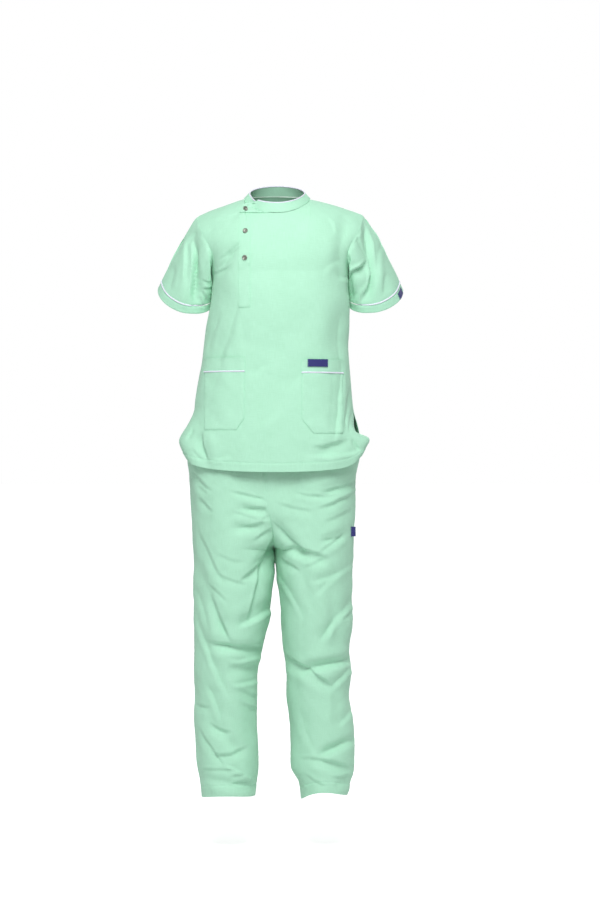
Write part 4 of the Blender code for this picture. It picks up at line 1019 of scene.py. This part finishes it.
def poplin(name, light, deep, sheen):
    look, tree, shader = new_look(name, Roughness=0.78, Sheen_Weight=sheen, Sheen_Roughness=0.45,
                                  Specular_IOR_Level=0.28)
    place = add(tree, "UVMap", uv_map="Threads").outputs["UV"]
    threads, slubs = [], []
    for direction, stretch in (("X", (THREAD, SLUB, 1.0)), ("Y", (SLUB, THREAD, 1.0))):
        wave = add(tree, "TexWave", {"Vector": place, "Scale": wave_scale(THREAD_SPACING), "Distortion": 0.4},
                   wave_type="BANDS", bands_direction=direction)
        drawn = add(tree, "Mapping", {"Vector": place, "Scale": stretch})
        noise = add(tree, "TexNoise", {"Vector": drawn.outputs["Vector"], "Scale": 1.0, "Detail": 2.0})
        threads.append(wave.outputs["Fac"])
        slubs.append(noise.outputs["Fac"])
    weave = add(tree, "Math", {0: threads[0], 1: threads[1]}, operation="MULTIPLY")
    slub = add(tree, "Math", {0: slubs[0], 1: slubs[1]}, operation="ADD")
    cloud = add(tree, "TexNoise", {"Vector": place, "Scale": 14.0, "Detail": 3.0})
    tone = add(tree, "Math", {0: cloud.outputs["Fac"], 1: 0.35, 2: slub.outputs["Value"]},
               operation="MULTIPLY_ADD")
    share = add(tree, "MapRange", {"Value": tone.outputs["Value"], "From Min": 0.80, "From Max": 1.55})
    colour = add(tree, "Mix", {0: share.outputs["Result"], 6: linear(deep), 7: linear(light)}, data_type="RGBA")
    height = add(tree, "Math", {0: slub.outputs["Value"], 1: 0.5, 2: weave.outputs["Value"]},
                 operation="MULTIPLY_ADD")
    bump = add(tree, "Bump", {"Height": height.outputs["Value"], "Strength": 0.22, "Distance": 0.00012})
    tree.links.new(colour.outputs[2], shader.inputs["Base Color"])
    tree.links.new(bump.outputs["Normal"], shader.inputs["Normal"])
    return look


cloth = poplin("poly-cotton poplin, mint", "#AEDFC5", "#A3D6B9", 0.10)

# %% [markdown]
# Piping, thread, label and snap
#
# Piping is a cord in a bias strip of white cotton: matt, with its threads running aslant. The sewing thread is
# spun polyester, a little shinier than the cloth. The labels are satin-woven polyester in navy, whose fine ribs
# catch the light. The ring snaps are stamped brass plated with nickel, a warm grey metal with a soft gloss.

# %% Piping, thread, label and snap
BIAS_SPACING = 0.0011
RIB_SPACING = 0.0008


def ribbed(name, light, deep, spacing, turn, strength, **sockets):
    """Threads in one direction, turned by an angle on the piece's own UV map."""
    look, tree, shader = new_look(name, **sockets)
    place = add(tree, "UVMap", uv_map="Threads").outputs["UV"]
    turned = add(tree, "Mapping", {"Vector": place, "Rotation": (0.0, 0.0, math.radians(turn))})
    ribs = add(tree, "TexWave", {"Vector": turned.outputs["Vector"], "Scale": wave_scale(spacing),
                                 "Distortion": 0.3}, wave_type="BANDS", bands_direction="X")
    colour = add(tree, "Mix", {0: ribs.outputs["Fac"], 6: linear(deep), 7: linear(light)}, data_type="RGBA")
    bump = add(tree, "Bump", {"Height": ribs.outputs["Fac"], "Strength": strength, "Distance": 0.00015})
    tree.links.new(colour.outputs[2], shader.inputs["Base Color"])
    tree.links.new(bump.outputs["Normal"], shader.inputs["Normal"])
    return look


cotton_piping = ribbed("cotton bias piping, white", "#E6E7F2", "#D4D6E6", BIAS_SPACING, 45.0, 0.35,
                       Roughness=0.8, Sheen_Weight=0.15)
woven_label = ribbed("satin-woven polyester label, navy", "#2B2C78", "#1E1F5E", RIB_SPACING, 90.0, 0.4,
                     Roughness=0.45, Sheen_Weight=0.2)


def spun_thread():
    look, tree, shader = new_look("spun polyester thread, mint", Roughness=0.55, Sheen_Weight=0.3)
    place = add(tree, "TexCoord").outputs["Object"]
    fuzz = add(tree, "TexNoise", {"Vector": place, "Scale": 900.0, "Detail": 1.0})
    colour = add(tree, "Mix", {0: fuzz.outputs["Fac"], 6: linear("#9BDABB"), 7: linear("#B4EBD0")},
                 data_type="RGBA")
    tree.links.new(colour.outputs[2], shader.inputs["Base Color"])
    return look


def plated_snap():
    look, tree, shader = new_look("nickel-plated brass snap", Metallic=1.0)
    place = add(tree, "TexCoord").outputs["Object"]
    wear = add(tree, "TexNoise", {"Vector": place, "Scale": 700.0, "Detail": 3.0})
    colour = add(tree, "Mix", {0: wear.outputs["Fac"], 6: linear("#7C7F76"), 7: linear("#A2A59B")},
                 data_type="RGBA")
    gloss = add(tree, "MapRange", {"Value": wear.outputs["Fac"], "To Min": 0.34, "To Max": 0.50})
    tree.links.new(colour.outputs[2], shader.inputs["Base Color"])
    tree.links.new(gloss.outputs["Result"], shader.inputs["Roughness"])
    return look


thread = spun_thread()
nickel = plated_snap()

# %% [markdown]
# Tunic body
#
# The front and back are two panels that meet at the shoulders and down the sides as far as the vents. The front
# is made first, because the pockets, the placket and the collar's tab all lie on it.

# %% Front and back panels
SIDE_CALM = 0.030       # creases fade out this far from a side seam
HEM_WIDE = 0.019
TUNIC_SLACK = 0.0007    # height of the unevenness in the tunic, which hangs smoothly
VENT_HEM = 0.009
EDGE_STITCH = 0.0022    # from a sewn edge to the stitches beside it


def tunic_panel(side, across, down):
    surface = tunic_front if side == FRONT else tunic_back
    inside = (0.0, -side * 0.2, -0.3)
    sheet = lay_out(surface, across, down, inside)
    sheet = raised(sheet, CLOTH / 2)
    sheet = draped(sheet, ("tunic", side), side_calm(sheet, SIDE_CALM), TUNIC_SLACK)
    above_vent = ease((sheet.points[..., 2] - VENT_Z) / 0.02 + 1.0)
    at_armhole = ease((sheet.points[..., 2] - ARMPIT_Z) / 0.02)
    roll = seam_roll(sheet, ("left", "right")) * above_vent * (1.0 - 0.7 * at_armhole)
    vent = turned_hem(sheet, "left", VENT_HEM, 0.0003) + turned_hem(sheet, "right", VENT_HEM, 0.0003)
    return raised(sheet, turned_hem(sheet, "low", HEM_WIDE) + vent * (1.0 - above_vent) - roll)


body_down = np.concatenate([even(70, 0.0, YOKE)[:-1], even(118, YOKE, 0.955)[:-1], even(20, 0.955, 1.0)])
front = tunic_panel(FRONT, even(150), body_down)
back = tunic_panel(BACK, even(130), body_down)
front_tree = tree_of(front)
cloth_wall("front_panel_cloth", front, cloth, ["tunic_front"])
cloth_wall("back_panel_cloth", back, cloth, ["tunic_back"])
print("front panel:", front.points.shape[:2], "back panel:", back.points.shape[:2])

VENT_SHARE = 0.80       # share of a panel's side edge where the vent begins
for panel in (front, back):
    sew("tunic", *beside(panel, "low", HEM_WIDE, 0.012, 0.988))
    for edge in ("left", "right"):
        sew("tunic", *beside(panel, edge, VENT_HEM, VENT_SHARE, 0.972))
        sew("tunic", *beside(panel, edge, EDGE_STITCH, 0.03, YOKE * 0.96))
for start, end in ((0.0, 0.5 - NECK_SHARE / 2), (0.5 + NECK_SHARE / 2, 1.0)):
    sew("tunic", *beside(back, "top", EDGE_STITCH, start, end))

# %% [markdown]
# Sleeves
#
# A set-in sleeve is a tube from the armhole to the cuff. The cuff is a separate band with piping let into the
# seam above it. Sleeve, piping and cuff share one surface, so they stay in line however the sleeve folds.

# %% Sleeves and cuffs
TRIM_HALF = (PIPING / 2 + SEAM) / SLEEVE_LONG
SLEEVE_SLACK = 0.0006
BEHIND = 0.0028         # depth of the trough down the back of a sleeve
UNDERARM_Z = -0.135     # below here the inner side of a sleeve lies against the body
MOVED_IN = 0.009        # the furthest that it moves over for that
TOUCH = 0.0002          # kept free between sleeve and body, and lapped over between the legs
round_sleeve = (np.arange(int(112 * DENSITY)) + 0.5) / int(112 * DENSITY)


def sleeve_folds(sheet, hand):
    """Folds of the sleeve's outer and front cloth. The hidden side next to the body stays calm."""
    middle = sheet.points.mean(axis=1, keepdims=True)
    facing = ease((middle[..., 1] + 0.02 - sheet.points[..., 1]) / 0.012)
    large = pressed(FOLDS["sleeve", hand], sheet.points)
    small = pressed(CREASES["sleeve", hand], sheet.points, **CRISP)
    outer = ease((hand * (sheet.points[..., 0] - middle[..., 0]) + 0.020) / 0.020)
    loose = SLEEVE_SLACK * ripple(sheet.points, 0.050, 11 + hand) * outer
    behind = BEHIND * np.exp(-((sheet.points[..., 0] - middle[..., 0]) / 0.010)**2) * (1.0 - facing) * outer
    return loose - behind - (large + small) * facing


def against_body(sheet, hand):
    """The sleeve's inner side lies against the body, so that no light shows between them."""
    x, z = sheet.points[..., 0], sheet.points[..., 2]
    side = np.array([read_row(BODY, height).left if hand == LEFT else read_row(BODY, height).right
                     for height in z.ravel()]).reshape(z.shape)
    inner = ease((hand * (sheet.points.mean(axis=1, keepdims=True)[..., 0] - x) - 0.006) / 0.014)
    gap = np.clip(hand * x - side - TOUCH, 0.0, MOVED_IN)
    sheet.points[..., 0] -= hand * gap * inner * ease((UNDERARM_Z - z) / 0.015)
    return sheet


def onto_armhole(sheet, hand):
    """The sleeve's top edge drawn over to the edge of the armhole that it is sewn into."""
    step = np.array([tuple(armhole(hand, w)[0] + armhole(hand, w)[1] * (CLOTH / 2) - Vector(sheet.points[0, i]))
                     for i, w in enumerate(round_sleeve)])
    above = ease((sheet.points[..., 2] - ARMPIT_Z) / 0.014)
    share = np.exp(-(from_edge(sheet, "top") / 0.006)**2) * above
    return with_normals(sheet.points + step[None] * share[..., None], sheet.points - sheet.normals, sheet.loop)


def sleeve_sheet(hand, down, thick):
    sheet = lay_out(lambda w, t: sleeve_point(hand, w, t), round_sleeve, down, loop=True)
    sheet = raised(sheet, thick / 2)
    return raised(sheet, sleeve_folds(sheet, hand))


cuffs = {}
for hand, word in HANDS:
    sleeve = sleeve_sheet(hand, even(74, 0.0, CUFF_SHARE - TRIM_HALF), CLOTH)
    cap = from_edge(sleeve, "top")
    top = ease((sleeve.points[..., 2] + 0.16) / 0.08)
    eased_in = 0.0008 * np.exp(-(cap / 0.014)**2) * ripple(sleeve.points, 0.016, 41) * top
    sleeve = raised(sleeve, eased_in - seam_roll(sleeve, ("top", "low"), 0.0004))
    sleeve = against_body(onto_armhole(sleeve, hand), hand)
    cloth_wall("sleeve_cloth_" + word, sleeve, cloth, ["sleeve_" + word])
    cuff = sleeve_sheet(hand, even(20, CUFF_SHARE + TRIM_HALF, 1.0), DOUBLE)
    cuff = raised(cuff, -seam_roll(cuff, ("top",)) - turned_hem(cuff, "low", 0.0024, 0.0002))
    cuff = against_body(cuff, hand)
    cloth_wall("cuff_cloth_" + word, cuff, cloth, ["cuff_" + word], 2.0 * SHELL)
    trim = sleeve_sheet(hand, [CUFF_SHARE - TRIM_HALF, CUFF_SHARE, CUFF_SHARE + TRIM_HALF], CLOTH)
    piping_tube("cuff_piping_" + word, trim.points[1] - trim.normals[1] * 0.0004, trim.normals[1],
                PIPING / 2, cotton_piping, ["piping_cuff_" + word], loop=True)
    sew("tunic", *beside(cuff, "low", 0.0026), loop=True)
    sew("tunic", *beside(cuff, "top", EDGE_STITCH), loop=True)
    cuffs[hand] = cuff
    print("sleeve", word, sleeve.points.shape[:2])

# %% [markdown]
# Pieces sewn on the front
#
# A patch pocket lies on the panel and follows every fold of it, and only its mouth stands free. Each such piece
# is laid out flat in x and z and dropped onto the finished front, which is what Shrinkwrap does. A ray is used
# here, because the piece's distance from the panel can then change from its sewn edges to its middle.

# %% Laying a piece on the front
FRONT_EYE = 0.5         # rays start this far in front of the suit


def laid_on(tree, corner, across, down):
    """A grid laid on a surface. The corner function gives x and z at shares a and b."""
    points = []
    for b in down:
        row = []
        for a in across:
            x, z = corner(a, b)
            eye = Vector((x, -FRONT_EYE, z))
            hit = tree.ray_cast(eye, Vector((0.0, 1.0, 0.0)))[0]
            if hit is None:
                hit = tree.find_nearest(Vector((x, -0.1, z)))[0]
            row.append(tuple(hit))
        points.append(row)
    return with_normals(np.array(points), np.array((0.0, 0.5, -0.3)), False)


def sewn_edge(sheet, edges, reach=0.0035):
    """0 at the sewn edges of a piece, rising to 1 inside them."""
    share = np.ones(sheet.points.shape[:-1])
    for edge in edges:
        share = share * ease(from_edge(sheet, edge) / reach)
    return share


# %% Pockets
PASTED = 0.0012         # a sewn-on layer stands this far out from the panel, a little more than its wall


def build_pocket(hand, word):
    pocket = POCKET[hand]
    half = PIPING / 2

    def bag(a, b):
        z = mix(pocket.piping - half, pocket.low, b)
        cut = max(0.0, 1.0 - (z - pocket.low) / pocket.cut_up) * pocket.cut_in
        return mix(pocket.outer, pocket.inner + hand * cut, a), z

    def band(a, b):
        return mix(pocket.outer, pocket.inner, a), mix(pocket.top, pocket.piping + half, b)

    across = even(46)
    sheet = laid_on(front_tree, bag, across, even(64))
    inside = sewn_edge(sheet, ("left", "right", "low"))
    sag = 0.0009 * ripple(sheet.points, 0.045, 61 + hand) + 0.0007
    edges = seam_roll(sheet, ("left", "right", "low"), 0.0003)
    sheet = raised(sheet, PASTED + inside * (0.0003 + sag) - edges)
    cloth_wall("pocket_cloth_" + word, sheet, cloth, ["pocket_" + word])
    for edge in ("left", "right", "low"):
        sew("tunic", *beside(sheet, edge, 0.0018))
    top = laid_on(front_tree, band, across, even(14))
    mouth = np.exp(-from_edge(top, "top") / 0.012) * sewn_edge(top, ("left", "right"), 0.012)
    top = raised(top, 1.6 * PASTED + 0.0016 * mouth - seam_roll(top, ("left", "right"), 0.0003))
    cloth_wall("pocket_band_cloth_" + word, top, cloth, ["pocket_band_" + word], 2.0 * SHELL)
    sew("tunic", *beside(top, "top", 0.0024))
    sew("tunic", *beside(top, "low", 0.0026))

    def seam(a, b):
        return mix(pocket.outer, pocket.inner, a), pocket.piping + (0.5 - b) * 0.001

    line = laid_on(front_tree, seam, across, [0.0, 0.5, 1.0])
    piping_tube("pocket_piping_" + word, line.points[1] + line.normals[1] * (PASTED + PIPING * 0.25),
                line.normals[1], PIPING / 2, cotton_piping, ["piping_pocket_" + word])


for hand, word in HANDS:
    build_pocket(hand, word)
print("pockets:", len(POCKET))

# %% Placket
STITCHED_BOX = 0.024    # height of the stitched box at the placket's foot


def placket_corner(a, b):
    return mix(PLACKET_RIGHT_X, PLACKET_LEFT_X, a), mix(PLACKET_TOP_Z, PLACKET_LOW_Z, b)


placket = laid_on(front_tree, placket_corner, even(16), even(120))
free_edge = np.exp(-from_edge(placket, "left") / 0.004) * ease(from_edge(placket, "low") / STITCHED_BOX)
placket = raised(placket, 1.3 * PASTED + 0.0006 * free_edge + 0.0003 * ripple(placket.points, 0.030, 71)
                 - seam_roll(placket, ("right", "low"), 0.0003))
cloth_wall("placket_cloth", placket, cloth, ["placket"], 2.0 * SHELL)
for edge in ("left", "right"):
    sew("tunic", *beside(placket, edge, 0.0020))
for distance in (0.0020, STITCHED_BOX):
    sew("tunic", *beside(placket, "low", distance, 0.09, 0.91))

# %% [markdown]
# Collar
#
# The stand collar is a band of two layers with interfacing, so it holds a clean curve. It rises from the
# neckline, leans in towards the neck, and ends in a tab that laps over the front and closes with the top snap.

# %% Collar and its piping
def on_front(x, z, out):
    """A point on the front at x and z, moved out. Above the neckline it is the nearest point of the panel."""
    hit, normal, _, _ = front_tree.ray_cast(Vector((x, -FRONT_EYE, z)), Vector((0.0, 1.0, 0.0)))
    if hit is None:
        hit, normal, _, _ = front_tree.find_nearest(Vector((x, NECK_FRONT_Y, z)))
    if normal.y > 0.0:
        normal.negate()
    return hit + normal * out


def clear_of_front(point, gap):
    """Moves a point ahead until it stands a gap away from the front, at the same height."""
    spot, normal, _, _ = front_tree.ray_cast(Vector((point.x, -FRONT_EYE, point.z)), Vector((0.0, 1.0, 0.0)))
    if spot is not None:
        point.y = min(point.y, spot.y - gap / max(abs(normal.y), 0.4))
    return point


BASE_LINE_Z = -0.0352   # the collar's lower edge runs level from the tab to the middle of the front
TAB_SLOPE = 0.0085      # rise of the tab's upper edge from its end to the collar
BASE_GAP = 0.0012       # from the panel to the middle of the collar's own thickness


def level_base(angle, share):
    """A point of the collar, its lower edge drawn down on the front to the level of the tab."""
    point = collar_point(angle, share)
    drop = max(point.z - BASE_LINE_Z, 0.0) * (1.0 - share)**2 * smooth(min(max(-angle / 20.0, 0.0), 1.0))
    point.z -= drop
    return point


def collar_surface(along, share):
    if along >= TAB_SHARE:
        angle = mix(TAB_RING, COLLAR_END, (along - TAB_SHARE) / (1.0 - TAB_SHARE))
        point = level_base(angle, share)
        return clear_of_front(point, BASE_GAP) if angle < 0.0 else point
    t = along / TAB_SHARE
    high = TAB_TOP_Z + TAB_SLOPE * t
    tab = on_front(mix(TAB_END_X, -0.058, t), mix(BASE_LINE_Z, high, share), BASE_GAP)
    point = mix(tab, level_base(mix(COLLAR_START, TAB_RING, t), share), smooth(t))
    return clear_of_front(point, BASE_GAP)


collar_along = np.concatenate([even(34, 0.0, TAB_SHARE)[:-1], even(190, TAB_SHARE, 1.0)])
collar = lay_out(collar_surface, collar_along, even(16), (0.0, 0.0, -0.05))
collar = raised(collar, DOUBLE / 2 - seam_roll(collar, ("top",), 0.0004) * 0.5
                + 0.0003 * ripple(collar.points, 0.040, 81) * ease(from_edge(collar, "low") / 0.010))
cloth_wall("collar_cloth", collar, cloth, ["collar"], 2.2 * SHELL)
sew("tunic", *beside(collar, "low", 0.0026, 0.01, 0.99))
sew("tunic", *beside(collar, "top", 0.0024, 0.01, 0.99))
rise = collar.points[-1] - collar.points[-2]
rise /= np.linalg.norm(rise, axis=1, keepdims=True)
rim = collar.points[-1] - collar.normals[-1] * (DOUBLE / 2) + rise * (PIPING * 0.45)
piped = np.searchsorted(collar_along, TAB_SHARE * 0.92)     # the tab itself has no piping
piping_tube("collar_piping", rim[piped:], collar.normals[-1][piped:], PIPING * 0.46, cotton_piping,
            ["piping_collar"])
print("collar:", collar.points.shape[:2])

# %% [markdown]
# Ring snaps
#
# A ring snap is a stamped cap with a raised rim round a hollow and a small dimple in its middle. Like a piece
# turned on a lathe, it is a short list of radius and height, spun round the snap's own axis.

# %% Ring snaps
SNAP_PROFILE = [(0.88, 0.00), (0.97, 0.22), (1.00, 0.50), (0.95, 0.84), (0.86, 1.00), (0.76, 0.96),
                (0.69, 0.74), (0.62, 0.56), (0.50, 0.52), (0.36, 0.58), (0.26, 0.56), (0.17, 0.40), (0.08, 0.32)]
SNAP_TURNS = 56
SNAP_AHEAD, SNAP_LIFT = 1.2, 0.0008     # the top snap looks ahead, though its tab leans, and stands off it
carriers = {"collar": tree_of(collar), "placket": tree_of(placket)}


def build_snap(number):
    spot = SNAP_SPOTS[number]
    eye = Vector((spot.x, -FRONT_EYE, spot.z))
    base, normal, _, _ = carriers[spot.carrier].ray_cast(eye, Vector((0.0, 1.0, 0.0)))
    if normal.y > 0.0:
        normal.negate()
    if spot.carrier == "collar":
        normal = (normal + Vector((0.0, -SNAP_AHEAD, 0.0))).normalized()
        base = base + normal * SNAP_LIFT
    side = normal.cross(Vector((0.0, 0.0, 1.0))).normalized()
    up = side.cross(normal)
    turns = [2.0 * math.pi * i / SNAP_TURNS for i in range(SNAP_TURNS)]
    rounds = [side * math.cos(turn) + up * math.sin(turn) for turn in turns]
    verts = [base + way * (radius * SNAP_RADIUS) + normal * (height * SNAP_HIGH)
             for radius, height in SNAP_PROFILE for way in rounds]
    rings = np.arange(len(verts)).reshape(-1, SNAP_TURNS)
    faces = cells(np.concatenate([rings, rings[:, :1]], axis=1)).tolist()
    faces += [rings[0, ::-1].tolist(), rings[-1].tolist()]
    mesh = bpy.data.meshes.new("ring_snap_" + str(number + 1))
    mesh.from_pydata([tuple(v) for v in verts], [], faces)
    mesh.shade_smooth()
    mesh.set_sharp_from_angle(angle=math.radians(70.0))
    finish_object(mesh.name, mesh, nickel, ["snap_" + str(number + 1)])


for number in range(len(SNAP_SPOTS)):
    build_snap(number)
print("snaps:", len(SNAP_SPOTS))

# %% [markdown]
# Trousers
#
# Each leg has a front and a back panel that meet at the outer seam, the inseam and the centre seam. The cloth
# is loose, so it breaks in short folds behind and over the knee, at the crotch and above the hem.

# %% Leg panels
LEG_HEM_WIDE = 0.024
LEG_SLACK = 0.0011      # the trousers are looser, and more uneven
TOUCH_LOW = -0.822      # the thighs' cloth touches down to here
THIGH_Z, THIGH_OVER = -0.77, 0.0022     # below this height it is drawn over by this much more
leg_down = np.concatenate([even(274, 0.0, 0.965)[:-1], even(22, 0.965, 1.0)])


def seam_closes(leg):
    """How far the inner edge of a leg panel moves over to meet the other leg's, so that no light gets in."""
    z = leg.points[..., 2]
    reach = SEAM / 2 + TOUCH + (CLOTH / 2 + SEAM) * ease(turned_in(z)) + THIGH_OVER * ease((THIGH_Z - z) / 0.03)
    return reach * ease((z - TOUCH_LOW) / 0.03) * np.exp(-(from_edge(leg, "left") / 0.012)**2)


legs = {}
for hand, word in HANDS:
    for side, face in ((FRONT, "front"), (BACK, "back")):
        inside = (hand * 0.09, -side * 0.2, -0.9)
        leg = lay_out(lambda a, b: leg_point(hand, side, a, b), even(100), leg_down, inside)
        leg = raised(leg, CLOTH / 2)
        leg = draped(leg, ("leg", hand, side), side_calm(leg, 0.010), LEG_SLACK)
        roll = seam_roll(leg, ("left",), 0.0002) + seam_roll(leg, ("right",), 0.0004)
        leg = raised(leg, turned_hem(leg, "low", LEG_HEM_WIDE) - roll)
        leg.points[..., 0] -= hand * seam_closes(leg)
        node = "leg_" + face + "_" + word
        cloth_wall(node + "_cloth", leg, cloth, [node])
        sew("trousers", *beside(leg, "low", LEG_HEM_WIDE, 0.01, 0.99))
        legs[hand, side] = leg
    sew("trousers", *beside(legs[hand, FRONT], "left", 0.0024, 0.0, 0.36))
print("leg panels:", len(legs), "of", legs[RIGHT, FRONT].points.shape[:2])

# %% Waistband
round_waist = (np.arange(int(160 * DENSITY)) + 0.5) / int(160 * DENSITY)
waistband = lay_out(waistband_point, round_waist, even(12), loop=True)
waistband = raised(waistband, DOUBLE / 2)
cloth_wall("waistband_cloth", waistband, cloth, ["waistband"], 2.0 * SHELL)
sew("trousers", *beside(waistband, "top", 0.004), loop=True)

# %% [markdown]
# Labels
#
# Three small navy labels are sewn on: at the mouth of the left pocket, round the edge of the left cuff and at
# the outer seam of the left leg. They are left plain.

# %% Labels
def label_wall(name, sheet, node, garment):
    puff = 0.0002 * sewn_edge(sheet, ("left", "right"), 0.003)
    sheet = raised(sheet, puff)
    cloth_wall(name, sheet, woven_label, [node], LABEL_WALL)
    for edge in ("left", "right"):
        sew(garment, *beside(sheet, edge, 0.0012))


def pocket_label(a, b):
    return (mix(POCKET_LABEL.left, POCKET_LABEL.right, a),
            mix(POCKET_LABEL.top, POCKET_LABEL.low, b))


def share_of(sheet, a, b):
    """The outer point of a sheet at shares of its grid."""
    high, wide = sheet.points.shape[:2]
    i, j = a * (wide - 1), b * (high - 1)
    i0, j0 = min(int(i), wide - 2), min(int(j), high - 2)
    s, t = i - i0, j - j0
    block = sheet.points
    upper = block[j0, i0] * (1.0 - s) + block[j0, i0 + 1] * s
    lower = block[j0 + 1, i0] * (1.0 - s) + block[j0 + 1, i0 + 1] * s
    return upper * (1.0 - t) + lower * t


label = laid_on(front_tree, pocket_label, even(24), even(10))
label_wall("pocket_label_cloth", raised(label, 0.0042), "label_pocket", "tunic")
label = lay_out(lambda a, b: share_of(cuffs[LEFT], mix(0.010, 0.075, a), mix(0.15, 0.93, b)), even(10), even(8),
                (0.20, 0.036, -0.20))
label_wall("cuff_label_cloth", raised(label, 0.0009), "label_sleeve", "tunic")
LEG_LABEL = (0.862, 0.3130, 0.3365)     # shares of the leg's front: how far across, its top and its foot
LEG_LABEL_WIDE = 0.0120
LABEL_WAY = np.array((0.90, 0.36, 0.0))     # it stands off to the side


def flag_label(a, b):
    """A label that is sewn on along one edge and stands off the leg's side like a small flag."""
    across, top, low = LEG_LABEL
    return share_of(legs[LEFT, FRONT], across, mix(top, low, b)) + LABEL_WAY * (a * LEG_LABEL_WIDE)


label = lay_out(flag_label, even(8), even(10), (0.09, 0.05, -0.75))
label_wall("leg_label_cloth", raised(label, 0.0009), "label_leg", "trousers")

# %% Stitches
thread_mesh("tunic", thread)
thread_mesh("trousers", thread)

# %% [markdown]
# Cut sizes
#
# A garment is cut flat. The record Cut below is for the size of a piece's cut that shows, without its
# allowances for seams and hems; no piece is given one here.

# %% Cut sizes
Cut = namedtuple("Cut", "width length area held rests_on with_pieces", defaults=((),))

# %% [markdown]
# Floor, light and camera
#
# A catalogue photograph is lit so brightly that floor and backdrop merge into white. A large white floor, a
# white world and a broad lamp high in front do the same here. A sun lamp lights the whole floor alike, which a
# nearby lamp can't, and its wide angle keeps the shadow soft. World and floor are brighter to the camera than
# as lights, so that the backdrop is white and the folds keep their shade. The camera stands level, at hip
# height.

# %% Stage
FLOOR_Z = -1.448
FLOOR_HALF = 60.0       # so large that its edge is never seen
FLOOR_GLOW = 0.55       # what the floor adds to itself where the camera sees it
scene = bpy.context.scene
scene.view_settings.view_transform = "Standard"
scene.view_settings.look = "None"


def pale_floor():
    mesh = bpy.data.meshes.new("studio_floor")
    corners = [(x * FLOOR_HALF, y * FLOOR_HALF, FLOOR_Z) for x, y in ((-1, -1), (1, -1), (1, 1), (-1, 1))]
    mesh.from_pydata(corners, [], [(0, 1, 2, 3)])
    look, tree, shader = new_look("painted studio floor, matt white", Roughness=0.9, Specular_IOR_Level=0.0,
                                  Emission_Color=linear("#FFFFFF"))
    seen = add(tree, "LightPath").outputs["Is Camera Ray"]
    glow = add(tree, "MapRange", {"Value": seen, "To Min": 0.0, "To Max": FLOOR_GLOW})
    tree.links.new(glow.outputs["Result"], shader.inputs["Emission Strength"])
    place = add(tree, "TexCoord").outputs["Object"]
    cloud = add(tree, "TexNoise", {"Vector": place, "Scale": 1.5, "Detail": 2.0})
    colour = add(tree, "Mix", {0: cloud.outputs["Fac"], 6: linear("#F4F5F5"), 7: linear("#FAFAFA")},
                 data_type="RGBA")
    tree.links.new(colour.outputs[2], shader.inputs["Base Color"])
    mesh.materials.append(look)
    floor = bpy.data.objects.new("studio_floor", mesh)
    scene.collection.objects.link(floor)


def soft_light(name, place, aim, size, watts, colour):
    data = bpy.data.lights.new(name, "AREA")
    data.shape = "DISK"
    data.size = size
    data.energy = watts
    data.color = linear(colour)[:3]
    lamp = bpy.data.objects.new(name, data)
    lamp.location = place
    lamp.rotation_euler = (Vector(aim) - Vector(place)).to_track_quat("-Z", "Y").to_euler()
    lamp.visible_camera = False
    scene.collection.objects.link(lamp)


def broad_lamp(name, way, strength, angle):
    """A sun lamp that shines along a direction, as soft as a large softbox."""
    data = bpy.data.lights.new(name, "SUN")
    data.energy = strength
    data.angle = math.radians(angle)
    lamp = bpy.data.objects.new(name, data)
    lamp.rotation_euler = Vector(way).to_track_quat("-Z", "Y").to_euler()
    scene.collection.objects.link(lamp)


def white_world(as_light, as_backdrop):
    world = bpy.data.worlds.new("studio_world")
    world.use_nodes = True
    tree = world.node_tree
    seen = add(tree, "LightPath").outputs["Is Camera Ray"]
    strength = add(tree, "MapRange", {"Value": seen, "To Min": as_light, "To Max": as_backdrop})
    tree.links.new(strength.outputs["Result"], tree.nodes["Background"].inputs["Strength"])
    tree.nodes["Background"].inputs["Color"].default_value = linear("#FFFFFF")
    scene.world = world


pale_floor()
broad_lamp("top_light", (0.0, 0.60, -0.80), 1.25, 20.0)
soft_light("key_light", (-0.05, -1.75, 0.85), (0.0, 0.0, -0.3), 0.9, 25.0, "#FFFFFF")
soft_light("back_light", (0.5, 2.4, 0.9), (0.0, 0.0, -0.5), 1.6, 22.0, "#FFFFFF")
white_world(0.36, 1.0)

# %% Camera
CAMERA_PLACE = (0.051, -5.80, -0.559)
CAMERA_LENS = 103.8     # millimetres, on 36 mm of height
camera = bpy.data.objects.new("camera", bpy.data.cameras.new("camera"))
camera.data.sensor_fit = "VERTICAL"
camera.data.sensor_height = 36.0
camera.data.lens = CAMERA_LENS
camera.location = CAMERA_PLACE
camera.rotation_euler = (math.pi / 2, 0.0, 0.0)
scene.collection.objects.link(camera)
scene.camera = camera
